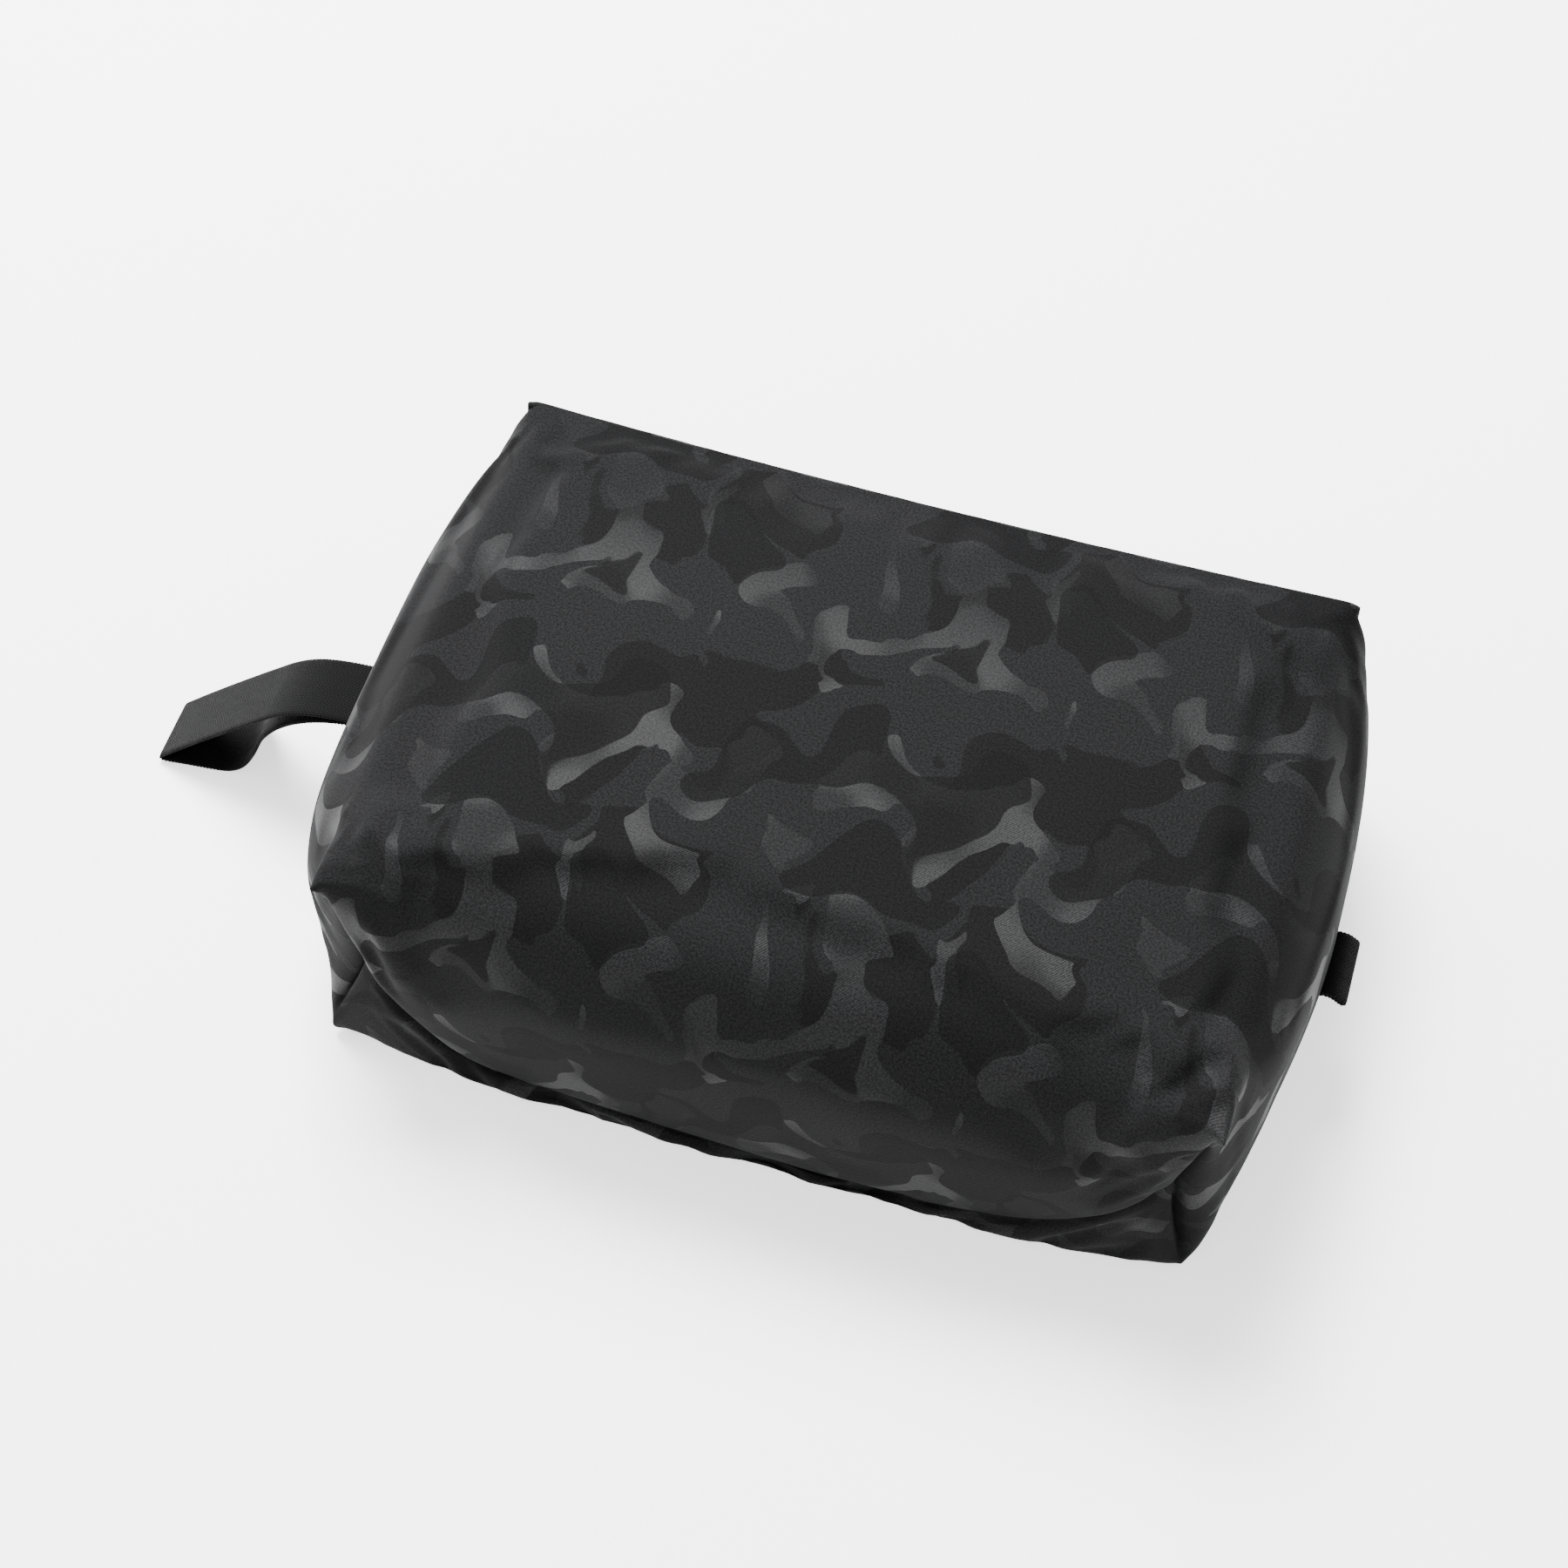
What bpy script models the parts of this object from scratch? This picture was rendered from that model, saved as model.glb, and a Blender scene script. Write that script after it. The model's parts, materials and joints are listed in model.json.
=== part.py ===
"""Soft toiletry bag with a boxed shape, lying on its back panel.

Frame: +X runs along the zip towards the small grab tab, +Y from the base towards the zip,
+Z from the back panel up to the front panel. The origin is the middle of the back panel's
underside. Lengths are metres.
"""
import math

import bmesh
import bpy
from mathutils import Matrix, Vector
from mathutils.geometry import interpolate_bezier

MM = 0.001

# Overall size of the filled bag.
LENGTH = 260 * MM          # corner to corner along the zip
DEPTH = 180 * MM           # base to zip face
HEIGHT = 86 * MM           # back panel to front panel

# Cloth shell.
WALL = 2.0 * MM            # outer cloth with its padding
EDGE_RADIUS = 8.0 * MM     # rounding where front and back turn into the ends and the base
EDGE_BULGE = 5.0 * MM      # how far the top and bottom edges bow out at mid-depth
LEFT_BULGE = 20.5 * MM     # how far the left side seam bows out at mid-depth
RIGHT_BULGE = 17.0 * MM    # the same for the right side seam
CORNER_TUCK = 5.5 * MM     # how far the side seam turns in at the boxed base corners
CREASE_DEPTH = 8.0 * MM    # lengthwise crease pressed into the base
CREASE_HEIGHT = 24.0 * MM  # its height above the back panel's underside
CREASE_SPREAD = 10.0 * MM  # half-width of the crease
PIECE_GAP = 0.3 * MM       # between touching pieces
SEAM_GAP = 0.5 * MM        # between curved slabs that meet at a seam

# Lining and seam bindings.
LINING_THICKNESS = 0.6 * MM
LINING_CLEARANCE = 1.5 * MM
BINDING_THICKNESS = 1.0 * MM
BINDING_WIDTH = 8.0 * MM
BINDING_INSET = 10.0 * MM  # from a corner of the lining to the corner bindings

# Zip: a size 5 coil chain.
FACING_LENGTH = 28.0 * MM  # fixed end of the zip face, from the corner
WINDOW = 11.0 * MM         # gap between the two folded cloth edges
CHAIN_WIDTH = 6.2 * MM
CHAIN_GAP = 1.6 * MM       # clear run for the slider's post
COIL_THICKNESS = 1.8 * MM
COIL_PITCH = 4.0 * MM
TAPE_WIDTH = 14.0 * MM     # from the middle of the chain
TAPE_THICKNESS = 0.6 * MM
HINGE_DROP = 0.5 * MM      # from the fold line to the lip's edge
FOLD_CLEARANCE = 0.15 * MM # keeps the lower lip off the floor as it turns

# Slider and puller.
SLIDER_LENGTH = 10.0 * MM
SLIDER_PLATE = 1.5 * MM
SLIDER_WIDTH = 9.6 * MM
SLIDER_TAIL_WIDTH = 7.2 * MM
SLIDER_CLEARANCE = 0.4 * MM
SLIDER_PARK = 3.5 * MM     # from the moving lips to the parked slider
POST_THICKNESS = 1.0 * MM
POST_LENGTH = 3.0 * MM
BAIL_WIDTH = 2.0 * MM
BAIL_THICKNESS = 1.2 * MM
BAIL_LENGTH = 5.6 * MM
BAR_RADIUS = 0.6 * MM
BAR_CLEARANCE = 0.8 * MM   # round the puller's cross bar under the bail
PULLER_LENGTH = 26.0 * MM
PULLER_WIDTH = 6.0 * MM
PULLER_ARM = 1.4 * MM
STOP_LENGTH = 2.4 * MM
STOP_GAP = 0.7 * MM        # from the parked slider to its stop

# Webbing.
WEBBING_THICKNESS = 1.2 * MM
WEBBING_WIDTH = 21.0 * MM
FOLD_RADIUS = 0.75 * MM    # centreline radius where the webbing folds back on itself
ROOT_CLEARANCE = 0.4 * MM  # from the end panel to the webbing's fold
LOOP_Y = -2.0 * MM         # middle of the hanging loop at the seam
LOOP_REACH = 69.0 * MM     # from the seam to the loop's tip
LOOP_DRIFT = -5.5 * MM     # how far the loop leans towards the base by its tip
TAB_Y = -4.5 * MM
TAB_LENGTH = 5.5 * MM
TAB_DROOP = math.radians(40)

# Worked out from the sizes above.
MID = HEIGHT / 2
BASE_Y = -DEPTH / 2
ZIP_Y = DEPTH / 2
LIP_HALF = LENGTH / 2 - FACING_LENGTH
HINGE_Y = ZIP_Y - WALL / 2
UPPER_HINGE_Z = HEIGHT - WALL / 2 - FOLD_CLEARANCE
LOWER_HINGE_Z = WALL / 2 + FOLD_CLEARANCE
PANEL_FAR_Y = HINGE_Y - math.hypot(HINGE_DROP, WALL / 2) - PIECE_GAP
PANEL_NEAR_Y = BASE_Y + EDGE_RADIUS + PIECE_GAP
END_FAR_Y = ZIP_Y - WALL - SEAM_GAP
TAPE_OUT_Y = ZIP_Y - WALL - PIECE_GAP
TAPE_IN_Y = TAPE_OUT_Y - TAPE_THICKNESS
COIL_IN_Y = TAPE_OUT_Y + PIECE_GAP
COIL_OUT_Y = COIL_IN_Y + COIL_THICKNESS
PLATE_IN_Y = COIL_OUT_Y + SLIDER_CLEARANCE
PLATE_OUT_Y = PLATE_IN_Y + SLIDER_PLATE
SLIDER_X = LIP_HALF + SLIDER_PARK + SLIDER_LENGTH / 2
STOP_X = SLIDER_X + SLIDER_LENGTH / 2 + STOP_GAP
BAR_Y = PLATE_OUT_Y + BAR_CLEARANCE + BAR_RADIUS
LINING_HALF = LENGTH / 2 - WALL - LINING_CLEARANCE
LINING_LOW = WALL + SEAM_GAP
LINING_NEAR_Y = BASE_Y + CREASE_DEPTH + WALL + LINING_CLEARANCE
LINING_FAR_Y = TAPE_IN_Y - SLIDER_PLATE - SLIDER_CLEARANCE * 2 - 5 * MM
LINING_RADIUS = EDGE_RADIUS - SEAM_GAP

ROUND_STEPS = 4            # facets on a quarter round
SIDE_STEPS = 7             # facets from a rounding to the side seam
BASE_STEPS = 2 * SIDE_STEPS  # facets down the base, level with the end panels'
LENGTH_STEPS = 9           # facets along an end panel

PARTS = {}


def clear_scene():
    for old in list(bpy.data.objects):
        bpy.data.objects.remove(old, do_unlink=True)


def material(name, colour, roughness, metallic=0.0):
    made = bpy.data.materials.new(name)
    made.use_nodes = True
    shader = made.node_tree.nodes["Principled BSDF"]
    shader.inputs["Base Color"].default_value = (*colour, 1.0)
    shader.inputs["Roughness"].default_value = roughness
    shader.inputs["Metallic"].default_value = metallic
    return made


def add_part(name, mesh, look, pivot=None):
    """Adds one closed mesh given in world coordinates, with its origin at the pivot."""
    if pivot is not None:
        mesh.transform(Matrix.Translation(-Vector(pivot)))
    part = bpy.data.objects.new(name, mesh)
    if pivot is not None:
        part.location = pivot
    colour, roughness, metallic = look
    part.data.materials.append(material(name + "_look", colour, roughness, metallic))
    bpy.context.scene.collection.objects.link(part)
    PARTS[name] = part
    return part


CLOTH = ((0.030, 0.031, 0.033), 0.72, 0.0)
LINING = ((0.022, 0.023, 0.026), 0.55, 0.0)
TAPE = ((0.018, 0.018, 0.020), 0.85, 0.0)
COIL = ((0.020, 0.020, 0.022), 0.40, 0.0)
METAL = ((0.055, 0.056, 0.060), 0.35, 0.9)
WEBBING = ((0.020, 0.020, 0.022), 0.80, 0.0)


def finish_mesh(bm, name):
    bmesh.ops.remove_doubles(bm, verts=bm.verts, dist=0.001 * MM)
    bmesh.ops.recalc_face_normals(bm, faces=bm.faces)
    mesh = bpy.data.meshes.new(name)
    bm.to_mesh(mesh)
    bm.free()
    return mesh


def slab_mesh(name, outer, inner):
    """Closed slab between two grids of points that have the same rows and columns."""
    bm = bmesh.new()
    skins = [[[bm.verts.new(p) for p in row] for row in grid] for grid in (outer, inner)]
    rows, columns = len(outer), len(outer[0])
    for skin in skins:
        for i in range(rows - 1):
            for j in range(columns - 1):
                bm.faces.new((skin[i][j], skin[i][j + 1], skin[i + 1][j + 1], skin[i + 1][j]))
    rim = [(0, j) for j in range(columns)]
    rim += [(i, columns - 1) for i in range(1, rows)]
    rim += [(rows - 1, j) for j in range(columns - 2, -1, -1)]
    rim += [(i, 0) for i in range(rows - 2, 0, -1)]
    top, under = skins
    for (a, b), (c, d) in zip(rim, rim[1:] + rim[:1]):
        bm.faces.new((top[a][b], under[a][b], under[c][d], top[c][d]))
    return finish_mesh(bm, name)


def box_mesh(name, low, high):
    bm = bmesh.new()
    bmesh.ops.create_cube(bm, size=1.0)
    for vert in bm.verts:
        vert.co = Vector(low[k] + (vert.co[k] + 0.5) * (high[k] - low[k]) for k in range(3))
    return finish_mesh(bm, name)


def prism_mesh(name, outline, low, high, axis):
    """Extrudes a flat outline along X, Y or Z. The outline gives the other two coordinates."""
    bm = bmesh.new()

    def place(point, level):
        coords = list(point)
        coords.insert("XYZ".index(axis), level)
        return Vector(coords)

    rings = [[bm.verts.new(place(p, level)) for p in outline] for level in (low, high)]
    bm.faces.new(rings[0])
    bm.faces.new(list(reversed(rings[1])))
    for k in range(len(outline)):
        after = (k + 1) % len(outline)
        bm.faces.new((rings[0][k], rings[0][after], rings[1][after], rings[1][k]))
    return finish_mesh(bm, name)


def union_meshes(name, meshes):
    """Joins overlapping closed meshes into one closed body."""
    base = bpy.data.objects.new(name + "_union", meshes[0])
    bpy.context.scene.collection.objects.link(base)
    for number, mesh in enumerate(meshes[1:]):
        other = bpy.data.objects.new(f"{name}_cutter_{number}", mesh)
        bpy.context.scene.collection.objects.link(other)
        other.hide_render = True
        other.display_type = "WIRE"
        join = base.modifiers.new(f"join_{number}", "BOOLEAN")
        join.operation = "UNION"
        join.object = other
    graph = bpy.context.evaluated_depsgraph_get()
    joined = bpy.data.meshes.new_from_object(base.evaluated_get(graph))
    for spare in [base] + [m.object for m in base.modifiers]:
        bpy.data.objects.remove(spare, do_unlink=True)
    joined.name = name
    return joined


def smooth(part):
    part.data.shade_smooth()
    part.data.set_sharp_from_angle(angle=math.radians(35))


# The shell's outline. An inset moves the surface inwards by that much.

def crease(z):
    return CREASE_DEPTH * math.exp(-((z - CREASE_HEIGHT) / CREASE_SPREAD) ** 2)


def round_share(z):
    """How far a height is into the top or bottom rounding, signed, or 0 on the straight part."""
    if z > HEIGHT - EDGE_RADIUS:
        return z - (HEIGHT - EDGE_RADIUS)
    return min(0.0, z - EDGE_RADIUS)


def base_y(z, inset):
    reach = (EDGE_RADIUS - inset) ** 2 - round_share(z) ** 2
    return BASE_Y + EDGE_RADIUS - math.sqrt(max(0.0, reach)) + crease(z)


def end_start(z):
    """Y where an end panel starts, clear of the base panel just above and below that height."""
    spread = EDGE_RADIUS / 4 if round_share(z) != 0.0 else 0.0
    return max(base_y(z + step, WALL) for step in (-spread, 0.0, spread)) + SEAM_GAP


def edge_half(y):
    """Half-length of the bag at its top and bottom edges."""
    return LENGTH / 2 + EDGE_BULGE * (1 - (y / ZIP_Y) ** 2)


def seam_half(y, bulge):
    """Half-length of the bag at the side seam, with the boxed corner tucked in at the base."""
    share = y / ZIP_Y
    return LENGTH / 2 + bulge * (1 - share ** 4) - CORNER_TUCK * max(0.0, -share) ** 8


def end_x(y, z, bulge, inset):
    reach = (EDGE_RADIUS - inset) ** 2 - round_share(z) ** 2
    edge = edge_half(y) - EDGE_RADIUS + math.sqrt(max(0.0, reach))
    if round_share(z) != 0.0:
        return edge
    rise = math.sin(math.pi * (z - EDGE_RADIUS) / (HEIGHT - 2 * EDGE_RADIUS))
    return edge + (seam_half(y, bulge) - edge_half(y)) * rise


def end_levels(inset):
    """Heights down an end panel, from the front panel's edge to the side seam."""
    levels = []
    for k in range(ROUND_STEPS + 1):
        turn = math.pi / 2 * k / ROUND_STEPS
        levels.append(HEIGHT - EDGE_RADIUS + (EDGE_RADIUS - inset) * math.cos(turn))
    straight = HEIGHT - EDGE_RADIUS - (MID + PIECE_GAP / 2)
    for k in range(1, SIDE_STEPS + 1):
        levels.append(HEIGHT - EDGE_RADIUS - straight * k / SIDE_STEPS)
    return levels


def end_skin(side, bulge, inset, lower):
    """Grid of points over half an end panel; side is -1 for the left end, 1 for the right."""
    grid = []
    for z in end_levels(inset):
        height = HEIGHT - z if lower else z
        near = end_start(height)
        row = []
        for k in range(LENGTH_STEPS + 1):
            y = near + (END_FAR_Y - near) * k / LENGTH_STEPS
            row.append((side * end_x(y, height, bulge, inset), y, height))
        grid.append(row)
    return grid


def make_end_panels():
    for side, side_name, bulge in ((-1, "left", LEFT_BULGE), (1, "right", RIGHT_BULGE)):
        for lower, half_name in ((False, "upper"), (True, "lower")):
            name = f"{side_name}_end_{half_name}"
            skins = [end_skin(side, bulge, inset, lower) for inset in (0.0, WALL)]
            smooth(add_part(name, slab_mesh(name, *skins), CLOTH))


def base_skin(inset):
    levels = []
    for k in range(ROUND_STEPS):
        turn = math.pi / 2 * k / ROUND_STEPS
        levels.append(HEIGHT - EDGE_RADIUS + (EDGE_RADIUS - inset) * math.cos(turn))
    for k in range(BASE_STEPS + 1):
        levels.append(HEIGHT - EDGE_RADIUS - (HEIGHT - 2 * EDGE_RADIUS) * k / BASE_STEPS)
    for k in range(1, ROUND_STEPS + 1):
        turn = math.pi / 2 * k / ROUND_STEPS
        levels.append(EDGE_RADIUS - (EDGE_RADIUS - inset) * math.sin(turn))
    grid = []
    for z in levels:
        y = base_y(z, inset)
        meet = base_y(z, WALL) + SEAM_GAP
        left = -end_x(meet, z, LEFT_BULGE, 0.0)
        right = end_x(meet, z, RIGHT_BULGE, 0.0)
        grid.append([(left, y, z), (0.0, y, z), (right, y, z)])
    return grid


def make_base_panel():
    mesh = slab_mesh("base_panel", base_skin(0.0), base_skin(WALL))
    smooth(add_part("base_panel", mesh, CLOTH))


def flat_panel(name, low, high):
    """Front or back panel: flat, with its long edges bowed like the bag's."""
    grids = []
    for z in (low, high):
        grid = []
        for k in range(LENGTH_STEPS + 1):
            y = PANEL_NEAR_Y + (PANEL_FAR_Y - PANEL_NEAR_Y) * k / LENGTH_STEPS
            half = edge_half(y) - EDGE_RADIUS - PIECE_GAP
            grid.append([(-half, y, z), (half, y, z)])
        grids.append(grid)
    add_part(name, slab_mesh(name, *grids), CLOTH)


def make_lining():
    """One thin open-mouthed box that hangs inside the shell, open towards the zip."""
    def ring(y, inset, shrink):
        half = LINING_HALF - inset - shrink
        low = LINING_LOW + inset + shrink
        high = HEIGHT - low
        radius = max(LINING_RADIUS - inset - shrink, 1 * MM)
        points = []
        for cx, cz, start in ((half - radius, high - radius, 0), (-half + radius, high - radius, 1),
                              (-half + radius, low + radius, 2), (half - radius, low + radius, 3)):
            for k in range(ROUND_STEPS + 1):
                turn = math.pi / 2 * (start + k / ROUND_STEPS)
                points.append((cx + radius * math.cos(turn), y, cz + radius * math.sin(turn)))
        return points

    def rings(inset):
        near = LINING_NEAR_Y + inset
        radius = LINING_RADIUS - inset
        found = [ring(LINING_FAR_Y, inset, 0.0)]
        for k in range(ROUND_STEPS):
            turn = math.pi / 2 * k / ROUND_STEPS
            shrink = radius * (1 - math.cos(turn))
            found.append(ring(near + radius * (1 - math.sin(turn)), inset, shrink))
        return found

    bm = bmesh.new()
    skins = [[[bm.verts.new(p) for p in r] for r in rings(inset)] for inset in (0.0, LINING_THICKNESS)]
    count = len(skins[0][0])
    for skin in skins:
        for first, second in zip(skin, skin[1:]):
            for k in range(count):
                after = (k + 1) % count
                bm.faces.new((first[k], first[after], second[after], second[k]))
        bm.faces.new(skin[-1])
    for k in range(count):
        after = (k + 1) % count
        bm.faces.new((skins[0][0][k], skins[1][0][k], skins[1][0][after], skins[0][0][after]))
    smooth(add_part("lining", finish_mesh(bm, "lining"), LINING))


def make_bindings():
    """Bias tape over the seam allowances: along each side seam and down each boxed corner."""
    inside = LINING_HALF - LINING_THICKNESS - PIECE_GAP
    near = LINING_NEAR_Y + BINDING_INSET
    far = LINING_FAR_Y - BINDING_INSET
    low = LINING_LOW + BINDING_INSET
    for side, side_name in ((-1, "left"), (1, "right")):
        faces = sorted((side * inside, side * (inside - BINDING_THICKNESS)))
        seam_near = near + BINDING_WIDTH + PIECE_GAP
        seam_far = far - BINDING_WIDTH - PIECE_GAP
        name = f"side_seam_binding_{side_name}"
        mesh = box_mesh(name, (faces[0], seam_near, MID - BINDING_WIDTH / 2),
                        (faces[1], seam_far, MID + BINDING_WIDTH / 2))
        add_part(name, mesh, TAPE)
        for end_name, start in (("base", near), ("zip", far - BINDING_WIDTH)):
            name = f"corner_binding_{end_name}_{side_name}"
            mesh = box_mesh(name, (faces[0], start, low), (faces[1], start + BINDING_WIDTH, HEIGHT - low))
            add_part(name, mesh, TAPE)


def make_lips():
    """Cloth, tape and coil on each side of the zip. They turn about the fold lines."""
    for upper, name in ((True, "upper"), (False, "lower")):
        hinge_z = UPPER_HINGE_Z if upper else LOWER_HINGE_Z
        pivot = (0.0, HINGE_Y, hinge_z)
        way = 1 if upper else -1
        cloth = sorted((MID + way * WINDOW / 2, hinge_z - way * HINGE_DROP))
        mesh = box_mesh("cloth", (-LIP_HALF, ZIP_Y - WALL, cloth[0]), (LIP_HALF, ZIP_Y, cloth[1]))
        add_part(f"zip_panel_{name}", mesh, CLOTH, pivot)
        tape = sorted((MID + way * CHAIN_GAP / 2, MID + way * TAPE_WIDTH))
        mesh = box_mesh("tape", (-LIP_HALF, TAPE_IN_Y, tape[0]), (LIP_HALF, TAPE_OUT_Y, tape[1]))
        add_part(f"zipper_tape_{name}", mesh, TAPE, pivot)
        mesh = prism_mesh("coil", coil_outline(way), COIL_IN_Y, COIL_OUT_Y, "Y")
        add_part(f"zipper_coil_{name}", mesh, COIL, pivot)


def coil_outline(way):
    """Comb of coil turns in X and Z, with its teeth towards the middle of the chain."""
    tip = MID + way * CHAIN_GAP / 2
    root = MID + way * (CHAIN_GAP / 2 + 1.2 * MM)
    back = MID + way * CHAIN_WIDTH / 2
    count = int(2 * LIP_HALF / COIL_PITCH)
    start = -count * COIL_PITCH / 2
    points = []
    for k in range(count):
        x = start + k * COIL_PITCH
        points += [(x, root), (x + 0.5 * MM, tip), (x + COIL_PITCH / 2, tip)]
        points.append((x + COIL_PITCH / 2 + 0.5 * MM, root))
    points += [(-start, root), (-start, back), (start, back)]
    return points


def make_facings():
    """Fixed ends of the zip face, notched so that the parked slider and the stops show."""
    inner = LIP_HALF + SLIDER_CLEARANCE
    notch = STOP_X + STOP_LENGTH + SLIDER_CLEARANCE
    low = WALL + PIECE_GAP
    for side, side_name in ((-1, "left"), (1, "right")):
        corner = LENGTH / 2
        edge = []
        for k in range(ROUND_STEPS + 1):
            turn = math.pi / 2 * k / ROUND_STEPS
            z = EDGE_RADIUS - (EDGE_RADIUS - low) * math.cos(turn)
            reach = math.sqrt(EDGE_RADIUS ** 2 - (EDGE_RADIUS - z) ** 2)
            edge.append((corner - EDGE_RADIUS + reach, z))
        outline = [(inner, low)] + edge + [(x, HEIGHT - z) for x, z in reversed(edge)]
        outline += [(inner, HEIGHT - low), (inner, MID + WINDOW / 2), (notch, MID + WINDOW / 2)]
        outline += [(notch, MID - WINDOW / 2), (inner, MID - WINDOW / 2)]
        outline = [(side * x, z) for x, z in outline]
        name = f"zip_facing_{side_name}"
        add_part(name, prism_mesh(name, outline, ZIP_Y - WALL, ZIP_Y, "Y"), CLOTH)
        make_zipper_end(side, side_name, inner)


def make_zipper_end(side, side_name, inner):
    """End of the zip's tape and chain, sewn fast, with a slot for the slider's post."""
    outer = LENGTH / 2 - WALL * 2
    slot = STOP_X - PIECE_GAP
    half = CHAIN_GAP / 2
    outline = [(inner, MID - TAPE_WIDTH), (outer, MID - TAPE_WIDTH), (outer, MID + TAPE_WIDTH)]
    outline += [(inner, MID + TAPE_WIDTH), (inner, MID + half), (slot, MID + half)]
    outline += [(slot, MID - half), (inner, MID - half)]
    outline = [(side * x, z) for x, z in outline]
    pieces = [prism_mesh("tape", outline, TAPE_IN_Y, TAPE_OUT_Y, "Y")]
    for way in (-1, 1):
        span = sorted((MID + way * CHAIN_GAP / 2, MID + way * CHAIN_WIDTH / 2))
        reach = sorted((side * inner, side * (STOP_X - PIECE_GAP)))
        middle = TAPE_IN_Y + TAPE_THICKNESS / 2
        pieces.append(box_mesh("rib", (reach[0], middle, span[0]), (reach[1], COIL_OUT_Y, span[1])))
    name = f"zipper_end_{side_name}"
    add_part(name, union_meshes(name, pieces), TAPE)


def make_stops():
    """Two top stops at the closed end, and one wide stop across the chain at the open end."""
    half = CHAIN_WIDTH / 2 + 0.4 * MM
    y = (COIL_IN_Y, COIL_OUT_Y + 0.4 * MM)
    near, far = STOP_X, STOP_X + STOP_LENGTH
    for way, name in ((1, "upper"), (-1, "lower")):
        z = sorted((MID + way * CHAIN_GAP / 2, MID + way * half))
        mesh = box_mesh(name, (near, y[0], z[0]), (far, y[1], z[1]))
        add_part(f"zip_top_stop_{name}", mesh, METAL)
    mesh = box_mesh("stop", (-far, y[0], MID - half), (-near, y[1], MID + half))
    add_part("zip_bottom_stop", mesh, METAL)


def make_slider():
    """Two plates joined by a post that runs between the coils, with a bail for the puller."""
    nose = SLIDER_X + SLIDER_LENGTH / 2
    tail = SLIDER_X - SLIDER_LENGTH / 2
    shoulder = nose - SLIDER_LENGTH * 0.45
    wide, narrow = SLIDER_WIDTH / 2, SLIDER_TAIL_WIDTH / 2
    outline = [(tail, MID - narrow), (shoulder, MID - wide), (nose - 1.5 * MM, MID - wide)]
    outline += [(nose, MID - wide * 0.5), (nose, MID + wide * 0.5)]
    outline += [(nose - 1.5 * MM, MID + wide), (shoulder, MID + wide), (tail, MID + narrow)]
    inner_face = TAPE_IN_Y - SLIDER_CLEARANCE
    pieces = [prism_mesh("plate", outline, PLATE_IN_Y, PLATE_OUT_Y, "Y"),
              prism_mesh("under_plate", outline, inner_face - SLIDER_PLATE, inner_face, "Y")]
    overlap = SLIDER_PLATE / 2
    post_nose = nose - 1.0 * MM
    pieces.append(box_mesh("post", (post_nose - POST_LENGTH, inner_face - overlap, MID - POST_THICKNESS / 2),
                           (post_nose, PLATE_IN_Y + overlap, MID + POST_THICKNESS / 2)))
    pieces.append(prism_mesh("bail", bail_outline(), MID - BAIL_WIDTH / 2, MID + BAIL_WIDTH / 2, "Z"))
    add_part("zip_slider", union_meshes("zip_slider", pieces), METAL, (SLIDER_X, BAR_Y, MID))


def bail_outline():
    """Arch over the puller's cross bar, in X and Y."""
    half = BAIL_LENGTH / 2
    foot = PLATE_OUT_Y - SLIDER_PLATE / 2
    crown = BAR_Y + BAR_RADIUS + BAR_CLEARANCE
    bend = 1.0 * MM
    inner = half - BAIL_THICKNESS
    points = [(-half, foot), (-half, crown + BAIL_THICKNESS - bend), (-half + bend, crown + BAIL_THICKNESS)]
    points += [(half - bend, crown + BAIL_THICKNESS), (half, crown + BAIL_THICKNESS - bend), (half, foot)]
    points += [(inner, foot), (inner, crown), (-inner, crown), (-inner, foot)]
    return [(SLIDER_X + x, y) for x, y in points]


def make_puller():
    """Flat tag with a window for the bail. It turns on its own cross bar."""
    arm_in = BAIL_WIDTH / 2 + BAR_CLEARANCE
    arm_out = arm_in + PULLER_ARM
    window = BAIL_LENGTH / 2 + BAR_CLEARANCE + BAIL_THICKNESS
    low, high = BAR_Y - BAR_RADIUS, BAR_Y + BAR_RADIUS
    pieces = [round_bar("bar", (SLIDER_X, BAR_Y, MID), BAR_RADIUS, 2 * arm_out, "Z")]
    for way in (-1, 1):
        z = sorted((MID + way * arm_in, MID + way * arm_out))
        pieces.append(box_mesh("arm", (SLIDER_X - window - 1 * MM, low, z[0]), (SLIDER_X, high, z[1])))
    tip = SLIDER_X - PULLER_LENGTH
    half = PULLER_WIDTH / 2
    outline = [(SLIDER_X - window, MID - arm_out), (SLIDER_X - window, MID + arm_out)]
    outline += [(SLIDER_X - window - 3 * MM, MID + half)]
    for k in range(9):
        turn = math.pi * k / 8
        outline.append((tip + half - half * math.sin(turn), MID + half * math.cos(turn)))
    outline += [(SLIDER_X - window - 3 * MM, MID - half)]
    pieces.append(prism_mesh("tag", outline, low, high, "Y"))
    add_part("zip_puller", union_meshes("zip_puller", pieces), METAL, (SLIDER_X, BAR_Y, MID))


def round_bar(name, centre, radius, length, axis):
    turn = {"X": Matrix.Rotation(math.pi / 2, 4, "Y"), "Y": Matrix.Rotation(math.pi / 2, 4, "X"),
            "Z": Matrix.Identity(4)}[axis]
    bm = bmesh.new()
    bmesh.ops.create_cone(bm, cap_ends=True, segments=12, radius1=radius, radius2=radius, depth=length,
                          matrix=Matrix.Translation(centre) @ turn)
    return finish_mesh(bm, name)


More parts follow.
